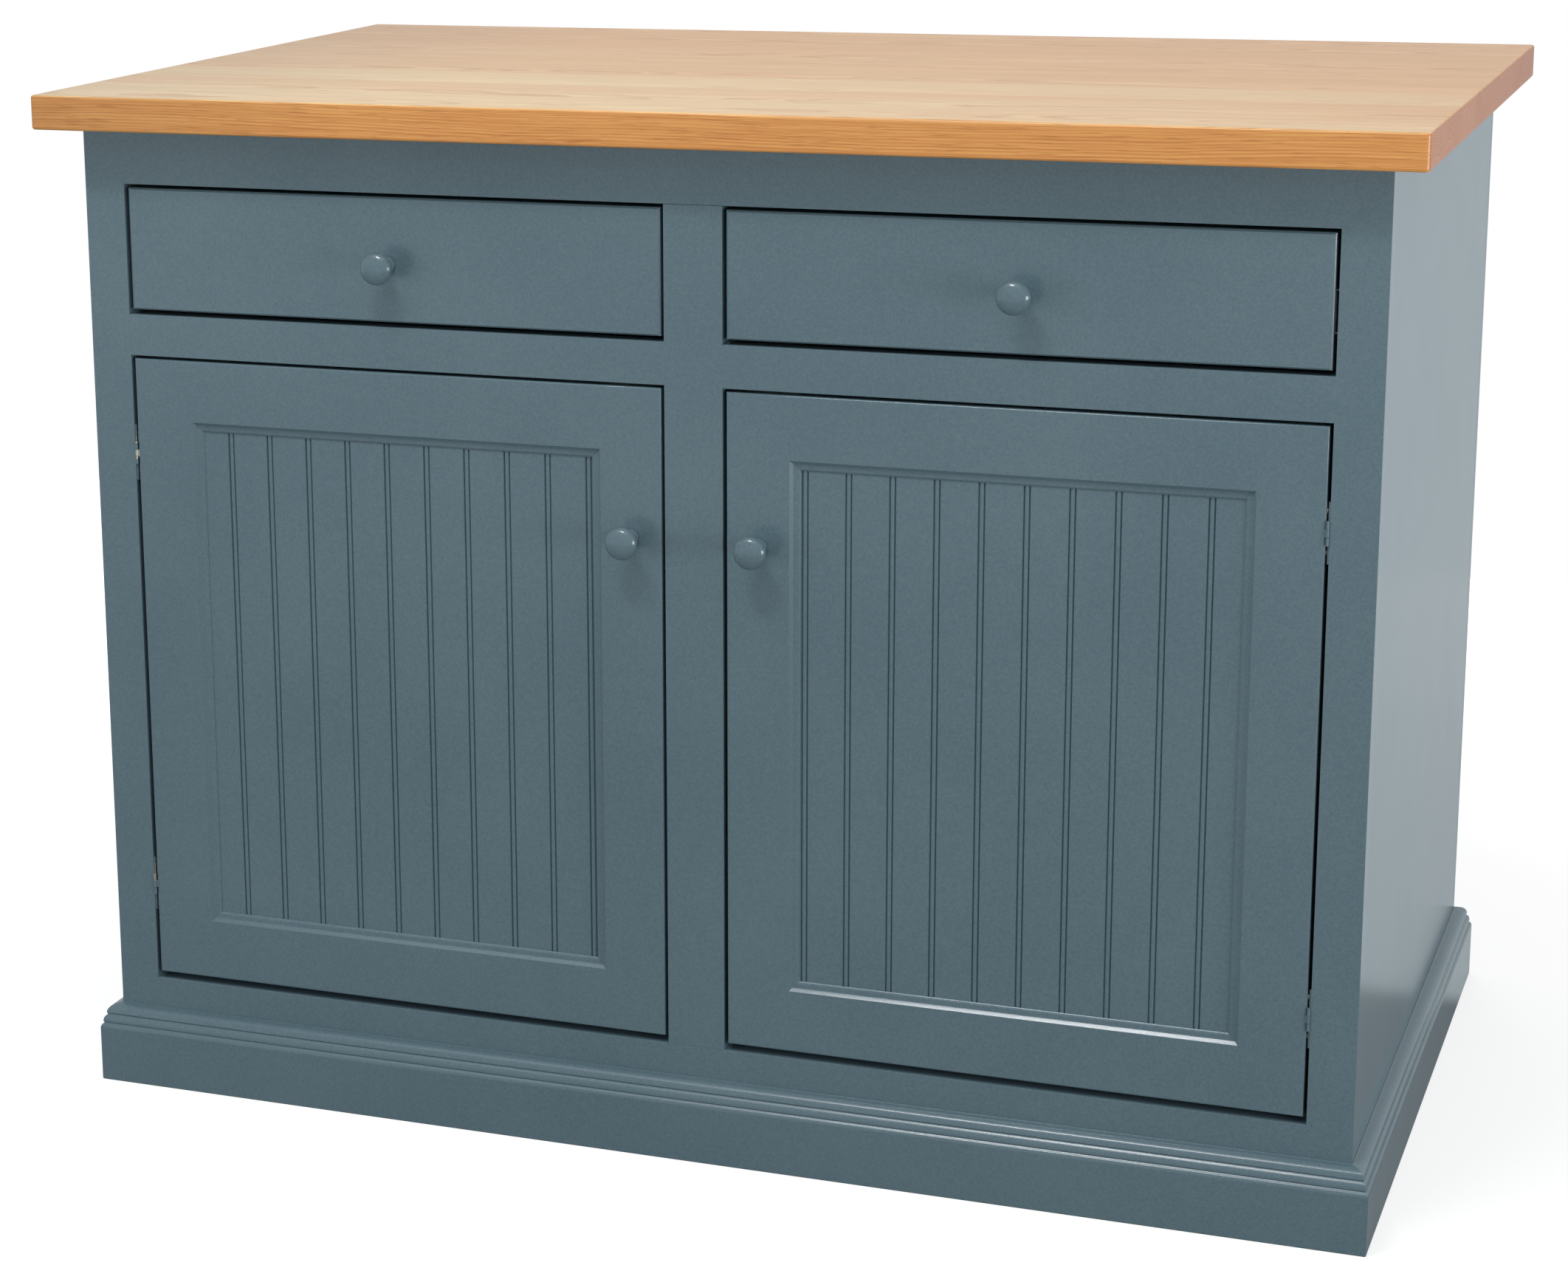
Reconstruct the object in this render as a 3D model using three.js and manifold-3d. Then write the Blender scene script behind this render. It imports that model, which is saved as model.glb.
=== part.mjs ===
// Kitchen island unit: a painted face-frame cabinet with two inset drawers over two inset
// beadboard doors, a solid wood worktop and a mitred base moulding on all four sides.
//
// Millimetres. X runs along the front from left to right, Y from the front to the back and
// Z up. The origin is on the floor, under the middle of the worktop.

import * as THREE from 'three';
import { mergeVertices } from 'three/addons/utils/BufferGeometryUtils.js';
import Module from 'manifold-3d';

const wasm = await Module();
wasm.setup();

// ---------------------------------------------------------------- driving dimensions

const HEIGHT = 914;
const CASE_WIDTH = 1124;
const CASE_DEPTH = 662;

const top = {
  thickness: 30,
  overhangSide: 30.5,
  overhangFront: 37.5,
  cornerRadius: 4,
  ease: 2.5,
};

const frame = {
  thickness: 19,
  outerStile: 38,
  centreStile: 51,
  topRail: 49.5,
  midRail: 37,
  bottomRail: 81.5,
  drawerOpening: 114.5,
};

const panel = {
  thickness: 18,
  dado: 6,
  back: 12,
  floorTop: 101.5,
  nailer: 80,
};

const shelf = { height: 385, setBack: 22, rearGap: 7, endGap: 1 };

const base = { height: 73.5, projection: 16 };

const gap = {
  side: 3,
  aboveDrawer: 3,
  belowDrawer: 4,
  aboveDoor: 2.5,
  belowDoor: 6,
};

const door = {
  stile: 63.5,
  sticking: 9,
  recess: 5,
  panel: 6.5,
  panelSlack: 1,
  ease: 2,
  tenonLength: 24,
  tenonInset: 10,
  tenonWidth: 34,
};

const bead = { count: 10, pitch: 37.3, fromMeetingEdge: 3.5, width: 5, groove: 1.2, depth: 1.6 };

const drawer = {
  boxWidth: 473,
  boxLength: 609.5,
  boxHeight: 85,
  underBox: 7,
  side: 12,
  frontDado: 9.5,
  bottom: 6.5,
  bottomUp: 10,
  bottomGroove: 6,
  backDado: 4,
  backFromRear: 9,
  travel: 430,
};

const slide = {
  height: 35,
  steel: 1.25,
  flange: 10.5,
  lip: 3,
  innerHeight: 22,
  innerFlange: 9.25,
  tab: 14,
  centreUp: 43.5,
  runnerSetBack: 21,
  runnerLength: 594,
};

const hinge = {
  inset: 85,
  leafHeight: 50,
  leaf: 1.5,
  axisProud: 0.5,
  knuckleRadius: 1.3,
  barrelHeight: 20,
  doorKnuckle: 6.4,
  pinRadius: 0.6,
  boreRadius: 0.75,
  clearBehindAxis: 1.6,
};

const knob = {
  radius: 14.5,
  projection: 31,
  seatGap: 0.2,
  doorFromEdge: 28,
  doorFromTop: 129.5,
  drawerDrop: 4,
};

const FIT = 0.25;  // slack round a tongue, tenon or dado, per side
const SMALLEST = 0.01;  // an edge that a boolean leaves shorter than this is closed up

// ---------------------------------------------------------------- places worked out from them

const caseTop = HEIGHT - top.thickness;
const caseX = CASE_WIDTH / 2;
const frontY = -CASE_DEPTH / 2;
const backY = CASE_DEPTH / 2;
const insideFrontY = frontY + frame.thickness;
const insideBackY = backY - panel.back;
const insideX = caseX - panel.thickness;
const dividerX = panel.thickness / 2;

const openingOuterX = caseX - frame.outerStile;
const openingInnerX = frame.centreStile / 2;
const openingWidth = openingOuterX - openingInnerX;
const openingCentreX = (openingOuterX + openingInnerX) / 2;

const drawerOpeningTop = caseTop - frame.topRail;
const drawerOpeningBottom = drawerOpeningTop - frame.drawerOpening;
const doorOpeningTop = drawerOpeningBottom - frame.midRail;
const doorOpeningBottom = panel.floorTop;

const frontWidth = openingWidth - 2 * gap.side;
const drawerFrontBottom = drawerOpeningBottom + gap.belowDrawer;
const drawerFrontHeight = drawerOpeningTop - gap.aboveDrawer - drawerFrontBottom;
const doorBottom = doorOpeningBottom + gap.belowDoor;
const doorHeight = doorOpeningTop - gap.aboveDoor - doorBottom;
const doorFlat = door.stile - door.sticking;

const SIDES = { left: -1, right: 1 };

// ---------------------------------------------------------------- finishes

const finishes = {
  paint: { color: 0x62757e, roughness: 0.38, metalness: 0 },
  worktop: { color: 0xd9a574, roughness: 0.42, metalness: 0 },
  plywood: { color: 0xd8bd92, roughness: 0.6, metalness: 0 },
  drawerWood: { color: 0xdcc49c, roughness: 0.55, metalness: 0 },
  zincSteel: { color: 0xb9bcc0, roughness: 0.35, metalness: 1 },
  nickelSteel: { color: 0xd0d0cc, roughness: 0.25, metalness: 1 },
};

// ---------------------------------------------------------------- making shapes

// The outline runs along one axis between two places. Across X it lists y and z, across Y it
// lists x and z, and across Z it lists x and y.
function prism(outline, axis, from, to) {
  const flat = axis === 'y' ? outline.map(([x, z]) => [z, x]) : outline;
  const shape = new THREE.Shape(flat.map(([a, b]) => new THREE.Vector2(a, b)));
  const geometry = new THREE.ExtrudeGeometry(shape, { depth: to - from, bevelEnabled: false });
  geometry.translate(0, 0, from);
  return geometry.applyMatrix4(acrossAxis(axis));
}

function acrossAxis(axis) {
  const x = new THREE.Vector3(1, 0, 0);
  const y = new THREE.Vector3(0, 1, 0);
  const z = new THREE.Vector3(0, 0, 1);
  const turn = new THREE.Matrix4();
  if (axis === 'x') return turn.makeBasis(y, z, x);
  if (axis === 'y') return turn.makeBasis(z, x, y);
  return turn;
}

function block([x0, x1], [y0, y1], [z0, z1]) {
  const geometry = new THREE.BoxGeometry(Math.abs(x1 - x0), Math.abs(y1 - y0), Math.abs(z1 - z0));
  return geometry.translate((x0 + x1) / 2, (y0 + y1) / 2, (z0 + z1) / 2);
}

function circle(x, y, radius, steps = 12) {
  const turn = (2 * Math.PI) / steps;
  return Array.from({ length: steps }, (_, i) => [
    x + radius * Math.cos(i * turn),
    y + radius * Math.sin(i * turn),
  ]);
}

// Points on an ellipse's quarter or other stretch, both ends included.
function arc([x, y], [rx, ry], startDegrees, endDegrees, steps) {
  return Array.from({ length: steps + 1 }, (_, i) => {
    const angle = THREE.MathUtils.degToRad(
      startDegrees + ((endDegrees - startDegrees) * i) / steps);
    return [x + rx * Math.cos(angle), y + ry * Math.sin(angle)];
  });
}

function solid(geometry) {
  const bare = geometry.clone();
  bare.deleteAttribute('normal');
  bare.deleteAttribute('uv');
  const merged = mergeVertices(bare, 1e-5);
  return new wasm.Manifold(new wasm.Mesh({
    numProp: 3,
    vertProperties: new Float32Array(merged.attributes.position.array),
    triVerts: new Uint32Array(merged.index.array),
  }));
}

function geometryOf(body) {
  const mesh = body.asOriginal().simplify(SMALLEST).getMesh();
  const geometry = new THREE.BufferGeometry();
  geometry.setAttribute('position', new THREE.BufferAttribute(mesh.vertProperties, 3));
  geometry.setIndex(new THREE.BufferAttribute(mesh.triVerts, 1));
  geometry.computeVertexNormals();
  return geometry;
}

const join = (first, ...others) => others.reduce((sum, next) => sum.add(solid(next)), first);
const cut = (first, ...others) => others.reduce((rest, next) => rest.subtract(solid(next)), first);

// A board standing on its edge, with its four front arrises rounded. Its back is left square.
function easedBoard(width, height, thickness, ease) {
  const half = width / 2;
  const shape = new THREE.Shape([
    new THREE.Vector2(0, -half),
    new THREE.Vector2(height, -half),
    new THREE.Vector2(height, half),
    new THREE.Vector2(0, half),
  ]);
  const rounded = new THREE.ExtrudeGeometry(shape, {
    depth: thickness,
    bevelThickness: ease,
    bevelSize: ease,
    bevelOffset: -ease,
    bevelSegments: 3,
  });
  rounded.translate(0, 0, ease).applyMatrix4(acrossAxis('y'));
  return solid(rounded).intersect(solid(block([-width, width], [-1, thickness], [-1, height + 1])));
}

const unit = new THREE.Group();

function add(name, shape, finish, parent = unit) {
  const geometry = shape.isBufferGeometry ? shape : geometryOf(shape);
  const mesh = new THREE.Mesh(geometry, new THREE.MeshStandardMaterial(finishes[finish]));
  mesh.name = name;
  parent.add(mesh);
  return mesh;
}

// ---------------------------------------------------------------- worktop

function worktop() {
  const width = CASE_WIDTH + 2 * top.overhangSide;
  const depth = CASE_DEPTH + 2 * top.overhangFront;
  const r = top.cornerRadius;
  const [x, y] = [width / 2, depth / 2];
  const shape = new THREE.Shape();
  shape.moveTo(-x + r, -y);
  shape.lineTo(x - r, -y);
  shape.absarc(x - r, -y + r, r, -Math.PI / 2, 0);
  shape.absarc(x - r, y - r, r, 0, Math.PI / 2);
  shape.absarc(-x + r, y - r, r, Math.PI / 2, Math.PI);
  shape.absarc(-x + r, -y + r, r, Math.PI, (3 * Math.PI) / 2);
  const board = new THREE.ExtrudeGeometry(shape, {
    depth: top.thickness - 2 * top.ease,
    curveSegments: 5,
    bevelThickness: top.ease,
    bevelSize: top.ease,
    bevelOffset: -top.ease,
    bevelSegments: 3,
  });
  return board.translate(0, 0, caseTop + top.ease);
}

// ---------------------------------------------------------------- case

function sidePanel(side) {
  const board = block([side * insideX, side * caseX], [insideFrontY, insideBackY], [0, caseTop]);
  const dado = block(
    [side * (insideX - 1), side * (insideX + panel.dado)],
    [insideFrontY - 1, insideBackY + 1],
    [panel.floorTop - panel.thickness, panel.floorTop]);
  return cut(solid(board), dado);
}

function floorPanel() {
  const x = insideX + panel.dado;
  const z = [panel.floorTop - panel.thickness, panel.floorTop];
  return block([-x, x], [insideFrontY, insideBackY], z);
}

// The divider is notched at its top rear corner for the rail that crosses it there.
function divider() {
  const board = block([-dividerX, dividerX], [insideFrontY, insideBackY], [panel.floorTop, caseTop]);
  const notch = block(
    [-dividerX - 1, dividerX + 1],
    [insideBackY - panel.thickness, insideBackY + 1],
    [caseTop - panel.nailer, caseTop + 1]);
  return cut(solid(board), notch);
}

function nailer() {
  const y = [insideBackY - panel.thickness, insideBackY];
  return block([-insideX, insideX], y, [caseTop - panel.nailer, caseTop]);
}

function shelfBoard(side) {
  const x = [side * (dividerX + shelf.endGap), side * (insideX - shelf.endGap)];
  const y = [insideFrontY + shelf.setBack, insideBackY - shelf.rearGap];
  return block(x, y, [shelf.height, shelf.height + panel.thickness]);
}

// ---------------------------------------------------------------- face frame

const frameY = [frontY, insideFrontY];

function outerStile(side) {
  return block([side * openingOuterX, side * caseX], frameY, [0, caseTop]);
}

function midRail(side) {
  const x = [side * openingInnerX, side * openingOuterX];
  return block(x, frameY, [doorOpeningTop, drawerOpeningBottom]);
}

function addFaceFrame() {
  const acrossX = [-openingOuterX, openingOuterX];
  const centreX = [-openingInnerX, openingInnerX];
  const bottomRailZ = [doorOpeningBottom - frame.bottomRail, doorOpeningBottom];
  add('frame_top_rail', block(acrossX, frameY, [drawerOpeningTop, caseTop]), 'paint');
  add('frame_bottom_rail', block(acrossX, frameY, bottomRailZ), 'paint');
  add('frame_centre_stile', block(centreX, frameY, [doorOpeningBottom, drawerOpeningTop]), 'paint');
  for (const [name, side] of Object.entries(SIDES)) {
    add(`frame_${name}_stile`, outerStile(side), 'paint');
    add(`frame_${name}_mid_rail`, midRail(side), 'paint');
  }
}

// ---------------------------------------------------------------- base moulding

// Three rounds stacked over a flat board, each stepping out from under the one above. Points
// are how far the board stands out and how high it is, from the top of the case side down.
function baseProfile() {
  const p = base.projection;
  const h = base.height;
  return [
    [0, h],
    ...arc([1.5, h - 9], [10, 8], 90, 0, 6),
    [10.5, h - 10],
    ...arc([10.5, h - 17], [3.5, 6], 75, 0, 4),
    [13.2, h - 18],
    ...arc([p - 2.6, h - 23], [2.6, 4.2], 80, 0, 4),
    [p, 1],
    [p - 1, 0],
    [0, 0],
  ];
}

// Each end is mitred: a point that stands further out lies further along.
function baseBoard(length) {
  const board = prism(baseProfile().map(([out, up]) => [-out, up]), 'x', -length / 2, length / 2);
  const at = board.attributes.position;
  for (let i = 0; i < at.count; i += 1) {
    at.setX(i, at.getX(i) - Math.sign(at.getX(i)) * at.getY(i));
  }
  return board;
}

function addBase() {
  const boards = {
    base_front: { length: CASE_WIDTH, turn: 0, at: [0, frontY] },
    base_right: { length: CASE_DEPTH, turn: Math.PI / 2, at: [caseX, 0] },
    base_back: { length: CASE_WIDTH, turn: Math.PI, at: [0, backY] },
    base_left: { length: CASE_DEPTH, turn: -Math.PI / 2, at: [-caseX, 0] },
  };
  for (const [name, { length, turn, at }] of Object.entries(boards)) {
    const board = add(name, baseBoard(length), 'paint');
    board.rotation.z = turn;
    board.position.set(at[0], at[1], 0);
  }
}

// ---------------------------------------------------------------- knobs

// A turned mushroom knob, seated on the face that it screws to: a small foot, a waist and a
// wide cap with a shallow dome.
function knobShape() {
  const r = knob.radius;
  const tip = knob.projection;
  const profile = [
    [0, 0],
    [8.6, 0],
    [9, 1.2],
    ...arc([12.2, 8.6], [5.6, 6.6], 235, 160, 4),
    ...arc([r - 5.5, tip - 8.4], [5.5, 5], -65, 55, 6),
    ...arc([0, tip - 13], [16, 13], 52, 90, 4).map(([x, y]) => [Math.max(x, 0), y]),
  ];
  profile[profile.length - 1][0] = 0;
  const points = profile.map(([radius, out]) => new THREE.Vector2(radius, out));
  return new THREE.LatheGeometry(points, 24).rotateX(Math.PI).translate(0, -knob.seatGap, 0);
}

// ---------------------------------------------------------------- doors

// Everything on a door is measured from the middle of its bottom edge, at its front face.

// The moulded inner edge of a stile or rail: how far in from the flat, and how deep.
function stickingCurve() {
  return [
    ...arc([0, 1.2], [1.2, 1.2], -90, 0, 3),
    ...arc([door.sticking - 1.4, 3.7], [1.4, 1.4], -90, 0, 3),
  ];
}

// A stile's or rail's section, from its outer edge to its inner one, with the groove that
// holds the panel.
function frameSection() {
  const grooveBack = door.recess + door.panel + FIT;
  return [
    [0, 0],
    ...stickingCurve().map(([inwards, deep]) => [doorFlat + inwards, deep]),
    [door.stile, door.recess],
    [doorFlat, door.recess],
    [doorFlat, grooveBack],
    [door.stile, grooveBack],
    [door.stile, frame.thickness],
    [0, frame.thickness],
  ];
}

const tenonY = [door.recess, door.recess + door.panel];
const clearY = [-1, frame.thickness + 1];

function doorStile(side, envelope) {
  const edge = (frontWidth / 2) * side;
  const section = frameSection().map(([inwards, deep]) => [edge - side * inwards, deep]);
  const flatX = edge - side * doorFlat;
  let stile = solid(prism(section, 'z', 0, doorHeight));
  for (const up of [1, -1]) {
    const z = (fromEnd) => (up > 0 ? fromEnd : doorHeight - fromEnd);
    const reach = door.sticking + 1;
    const corner = [
      [flatX, z(-1)],
      [flatX, z(doorFlat)],
      [flatX - side * reach, z(doorFlat + reach)],
      [flatX - side * reach, z(-1)],
    ];
    const mortise = block(
      [flatX - side, flatX + side * (door.tenonLength + 1)],
      [tenonY[0] - FIT, tenonY[1] + FIT],
      [z(door.tenonInset - FIT), z(door.tenonInset + door.tenonWidth + FIT)]);
    stile = cut(stile, prism(corner, 'y', ...clearY), mortise);
  }
  return stile.intersect(envelope);
}

function doorRail(up, envelope) {
  const z = (fromEdge) => (up > 0 ? doorHeight - fromEdge : fromEdge);
  const section = frameSection().map(([inwards, deep]) => [deep, z(inwards)]);
  const flatX = frontWidth / 2 - doorFlat;
  let rail = solid(prism(section, 'x', -flatX, flatX));
  for (const side of [-1, 1]) {
    const reach = door.sticking + 1;
    const corner = [
      [side * flatX, z(doorFlat)],
      [side * (flatX + 1), z(doorFlat)],
      [side * (flatX + 1), z(doorFlat + reach)],
      [side * (flatX - reach), z(doorFlat + reach)],
    ];
    const tenon = block(
      [side * (flatX - 5), side * (flatX + door.tenonLength)],
      tenonY,
      [z(door.tenonInset), z(door.tenonInset + door.tenonWidth)]);
    rail = join(cut(rail, prism(corner, 'y', ...clearY)), tenon);
  }
  return rail.intersect(envelope);
}

// The panel is one board with pairs of fine grooves, and a round bead stands between the two
// of each pair. Its edges run into the grooves of the frame.
function beadboard(side) {
  const tongue = door.sticking - door.panelSlack;
  const visibleX = frontWidth / 2 - door.stile;
  const x = visibleX + tongue;
  const front = door.recess;
  const half = bead.width / 2;
  const run = [[-x, front]];
  const centres = Array.from({ length: bead.count }, (_, i) =>
    -side * (visibleX - bead.fromMeetingEdge - i * bead.pitch)).sort((a, b) => a - b);
  for (const centre of centres) {
    run.push(
      [centre - half - bead.groove / 2, front],
      [centre - half, front + bead.depth],
      ...arc([centre, front + bead.depth - 0.3], [half - 0.45, bead.depth - 0.3], 180, 360, 4),
      [centre + half, front + bead.depth],
      [centre + half + bead.groove / 2, front]);
  }
  run.push([x, front], [x, front + door.panel], [-x, front + door.panel]);
  return prism(run, 'z', doorFlat + door.panelSlack, doorHeight - doorFlat - door.panelSlack);
}

const hingeHeights = [hinge.inset, doorHeight - hinge.inset];

// Both leaves are drawn looking down, with the distance into the gap measured from the edge of
// the stile and the depth from the front of the frame.
const axisAcross = gap.side / 2;
const leafFront = hinge.clearBehindAxis - hinge.axisProud;

// The pocket in the door's edge for one leaf, with a notch at the front for its knuckle's web.
function leafPocket(side, up) {
  const edge = side * (frontWidth / 2);
  const floor = edge - side * (hinge.leaf + 0.1);
  const half = hinge.leafHeight / 2 + FIT;
  const web = hinge.doorKnuckle / 2 + FIT;
  const outside = edge + side;
  return [
    block([floor, outside], [leafFront - 0.1, frame.thickness + 1], [up - half, up + half]),
    block([floor, outside], [-1, leafFront + 0.5], [up - web, up + web]),
  ];
}

function addDoor(name, side) {
  const group = new THREE.Group();
  group.position.set(side * openingCentreX, frontY, doorBottom);
  unit.add(group);
  const envelope = easedBoard(frontWidth, doorHeight, frame.thickness, door.ease);
  const pockets = hingeHeights.flatMap((up) => leafPocket(side, up));
  add(`${name}_hinge_stile`, cut(doorStile(side, envelope), ...pockets), 'paint', group);
  add(`${name}_lock_stile`, doorStile(-side, envelope), 'paint', group);
  add(`${name}_top_rail`, doorRail(1, envelope), 'paint', group);
  add(`${name}_bottom_rail`, doorRail(-1, envelope), 'paint', group);
  add(`${name}_beadboard_panel`, beadboard(side), 'paint', group);
  const handle = add(`${name}_knob`, knobShape(), 'paint', group);
  const fromMiddle = frontWidth / 2 - knob.doorFromEdge;
  handle.position.set(-side * fromMiddle, 0, doorHeight - knob.doorFromTop);
}

// ---------------------------------------------------------------- hinges

// The frame's leaf lies on the inner edge of the stile. Its two knuckles hold the pin.
function frameLeaf(side) {
  const x = (across) => side * (openingOuterX - across);
  const axis = [x(axisAcross), frontY - hinge.axisProud];
  const half = hinge.barrelHeight / 2;
  const inner = hinge.doorKnuckle / 2 + 0.3;
  const plate = block(
    [x(0), x(hinge.leaf)],
    [frontY + leafFront, insideFrontY],
    [-hinge.leafHeight / 2, hinge.leafHeight / 2]);
  const pin = prism(circle(...axis, hinge.pinRadius), 'z', -half + 1, half - 1);
  const knuckles = [[inner, half], [-half, -inner]].flatMap(([low, high]) => [
    prism(circle(...axis, hinge.knuckleRadius), 'z', low, high),
    block([x(0.2), x(hinge.leaf)], [axis[1], frontY + leafFront + 1], [low, high]),
  ]);
  return join(solid(plate), pin, ...knuckles);
}

// The door's leaf is let into the door's edge. Its single knuckle turns on the pin.
function doorLeaf(side) {
  const x = (across) => side * (openingOuterX - across);
  const axis = [x(axisAcross), frontY - hinge.axisProud];
  const half = hinge.doorKnuckle / 2;
  const web = block(
    [x(axisAcross + 0.3), x(gap.side + hinge.leaf)],
    [axis[1] + 0.3, frontY + leafFront + 0.4],
    [-half, half]);
  const plate = block(
    [x(gap.side), x(gap.side + hinge.leaf)],
    [frontY + leafFront, insideFrontY],
    [-hinge.leafHeight / 2, hinge.leafHeight / 2]);
  const knuckle = prism(circle(...axis, hinge.knuckleRadius), 'z', -half, half);
  const bore = prism(circle(...axis, hinge.boreRadius), 'z', -half - 1, half + 1);
  return cut(join(solid(plate), web, knuckle), bore);
}

function addHinges(doorName, side) {
  for (const [i, place] of ['lower', 'upper'].entries()) {
    const up = doorBottom + hingeHeights[i];
    const name = `${doorName}_${place}_hinge`;
    add(`${name}_frame_leaf`, frameLeaf(side), 'nickelSteel').position.z = up;
    add(`${name}_door_leaf`, doorLeaf(side), 'nickelSteel').position.z = up;
  }
}

// ---------------------------------------------------------------- drawers

// Everything on a drawer is measured from the middle of its bottom edge, at its front face.

const boxX = drawer.boxWidth / 2;
const boxInsideX = boxX - drawer.side;
const boxStartY = frame.thickness - drawer.frontDado;
const boxEndY = boxStartY + drawer.boxLength;
const boxTopZ = drawer.underBox + drawer.boxHeight;
const bottomZ = [drawer.underBox + drawer.bottomUp, drawer.underBox + drawer.bottomUp + drawer.bottom];
const bottomGrooveZ = [bottomZ[0] - FIT, bottomZ[1] + FIT];
const boxBackY = [boxEndY - drawer.backFromRear - drawer.side, boxEndY - drawer.backFromRear];

// The front's back face has a stopped dado for each side and a groove for the bottom.
function drawerFront() {
  const rear = frame.thickness + 1;
  const dados = [-1, 1].map((side) => block(
    [side * (boxInsideX - FIT), side * (boxX + FIT)],
    [boxStartY - FIT, rear],
    [drawer.underBox - FIT, boxTopZ + FIT]));
  const grooveX = boxInsideX + drawer.bottomGroove;
  const groove = block(
    [-grooveX, grooveX],
    [frame.thickness - drawer.bottomGroove - FIT, rear],
    bottomGrooveZ);
  return cut(easedBoard(frontWidth, drawerFrontHeight, frame.thickness, door.ease), ...dados, groove);
}

function drawerSide(side) {
  const board = block(
    [side * boxInsideX, side * boxX],
    [boxStartY, boxEndY],
    [drawer.underBox, boxTopZ]);
  const groove = block(
    [side * (boxInsideX - 1), side * (boxInsideX + drawer.bottomGroove)],
    [boxStartY - 1, boxEndY + 1],
    bottomGrooveZ);
  const dado = block(
    [side * (boxInsideX - 1), side * (boxInsideX + drawer.backDado + FIT)],
    [boxBackY[0] - FIT, boxBackY[1] + FIT],
    [bottomGrooveZ[1] - 1, boxTopZ + 1]);
  return cut(solid(board), groove, dado);
}

// The back stands on the bottom, a little lower than the sides.
function drawerBack() {
  const x = boxInsideX + drawer.backDado;
  return block([-x, x], boxBackY, [bottomGrooveZ[1], boxTopZ - 5]);
}

function drawerBottom() {
  const x = boxInsideX + drawer.bottomGroove - 0.5;
  return block([-x, x], [frame.thickness - drawer.bottomGroove, boxEndY - 2], bottomZ);
}

// The cabinet's half of a slide: a channel from the face frame to the back, with a tab bent
// outwards at each end for its screws. "across" runs from the opening's edge to the drawer.
function cabinetRunner(x) {
  const half = slide.height / 2;
  const s = slide.steel;
  const lipIn = half - s - slide.lip;
  const upper = [
    [s, half - s],
    [slide.flange - s, half - s],
    [slide.flange - s, lipIn],
    [slide.flange, lipIn],
    [slide.flange, half],
    [0, half],
  ];
  const lower = upper.map(([across, up]) => [across, -up]).reverse();
  const section = [...upper, ...lower].map(([across, up]) => [x(across), up]);
  const tab = (y0, y1) => block([x(-slide.tab), x(s)], [y0, y1], [-half, half]);
  return join(
    solid(prism(section, 'y', insideFrontY, insideBackY)),
    tab(insideFrontY, insideFrontY + s),
    tab(insideBackY - s, insideBackY));
}

// The drawer's half: a narrower channel screwed to the drawer side, open the other way.
function drawerRunner(x) {
  const half = slide.innerHeight / 2;
  const s = slide.steel;
  const outer = (openingWidth - drawer.boxWidth) / 2;
  const edge = outer - slide.innerFlange;
  const section = [
    [outer, -half],
    [edge, -half],
    [edge, s - half],
    [outer - s, s - half],
    [outer - s, half - s],
    [edge, half - s],
    [edge, half],
    [outer, half],
  ].map(([across, up]) => [x(across), up]);
  const start = frontY + slide.runnerSetBack;
  return prism(section, 'y', start, start + slide.runnerLength);
}

function addDrawer(name, side) {
  const group = new THREE.Group();
  group.position.set(side * openingCentreX, frontY, drawerFrontBottom);
  unit.add(group);
  add(`${name}_front`, drawerFront(), 'paint', group);
  add(`${name}_left_side`, drawerSide(-1), 'drawerWood', group);
  add(`${name}_right_side`, drawerSide(1), 'drawerWood', group);
  add(`${name}_back`, drawerBack(), 'drawerWood', group);
  add(`${name}_bottom`, drawerBottom(), 'drawerWood', group);
  const handle = add(`${name}_knob`, knobShape(), 'paint', group);
  handle.position.z = drawerFrontHeight / 2 - knob.drawerDrop;
}

function addSlides(name, side) {
  const edges = {
    left: side * openingCentreX - openingWidth / 2,
    right: side * openingCentreX + openingWidth / 2,
  };
  for (const [place, edge] of Object.entries(edges)) {
    const inwards = place === 'left' ? 1 : -1;
    const x = (across) => edge + inwards * across;
    const up = drawerFrontBottom + slide.centreUp;
    add(`${name}_${place}_cabinet_runner`, cabinetRunner(x), 'zincSteel').position.z = up;
    add(`${name}_${place}_drawer_runner`, drawerRunner(x), 'zincSteel').position.z = up;
  }
}

// ---------------------------------------------------------------- assembly

add('worktop', worktop(), 'worktop');
add('side_left', sidePanel(SIDES.left), 'paint');
add('side_right', sidePanel(SIDES.right), 'paint');
add('back_panel', block([-caseX, caseX], [insideBackY, backY], [0, caseTop]), 'paint');
add('floor_panel', floorPanel(), 'plywood');
add('centre_divider', divider(), 'plywood');
add('rear_top_rail', nailer(), 'plywood');
addFaceFrame();
addBase();
for (const [name, side] of Object.entries(SIDES)) {
  add(`shelf_${name}`, shelfBoard(side), 'plywood');
  addDoor(`${name}_door`, side);
  addHinges(`${name}_door`, side);
  addDrawer(`${name}_drawer`, side);
  addSlides(`${name}_drawer`, side);
}

export default unit;
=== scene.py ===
"""Kitchen island unit: its finishes, small fittings, floor, lights and camera.

Metres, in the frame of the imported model: X along the front, Y from the front to the back, Z up.
"""

import math

import bpy
from mathutils import Matrix, Vector


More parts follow.
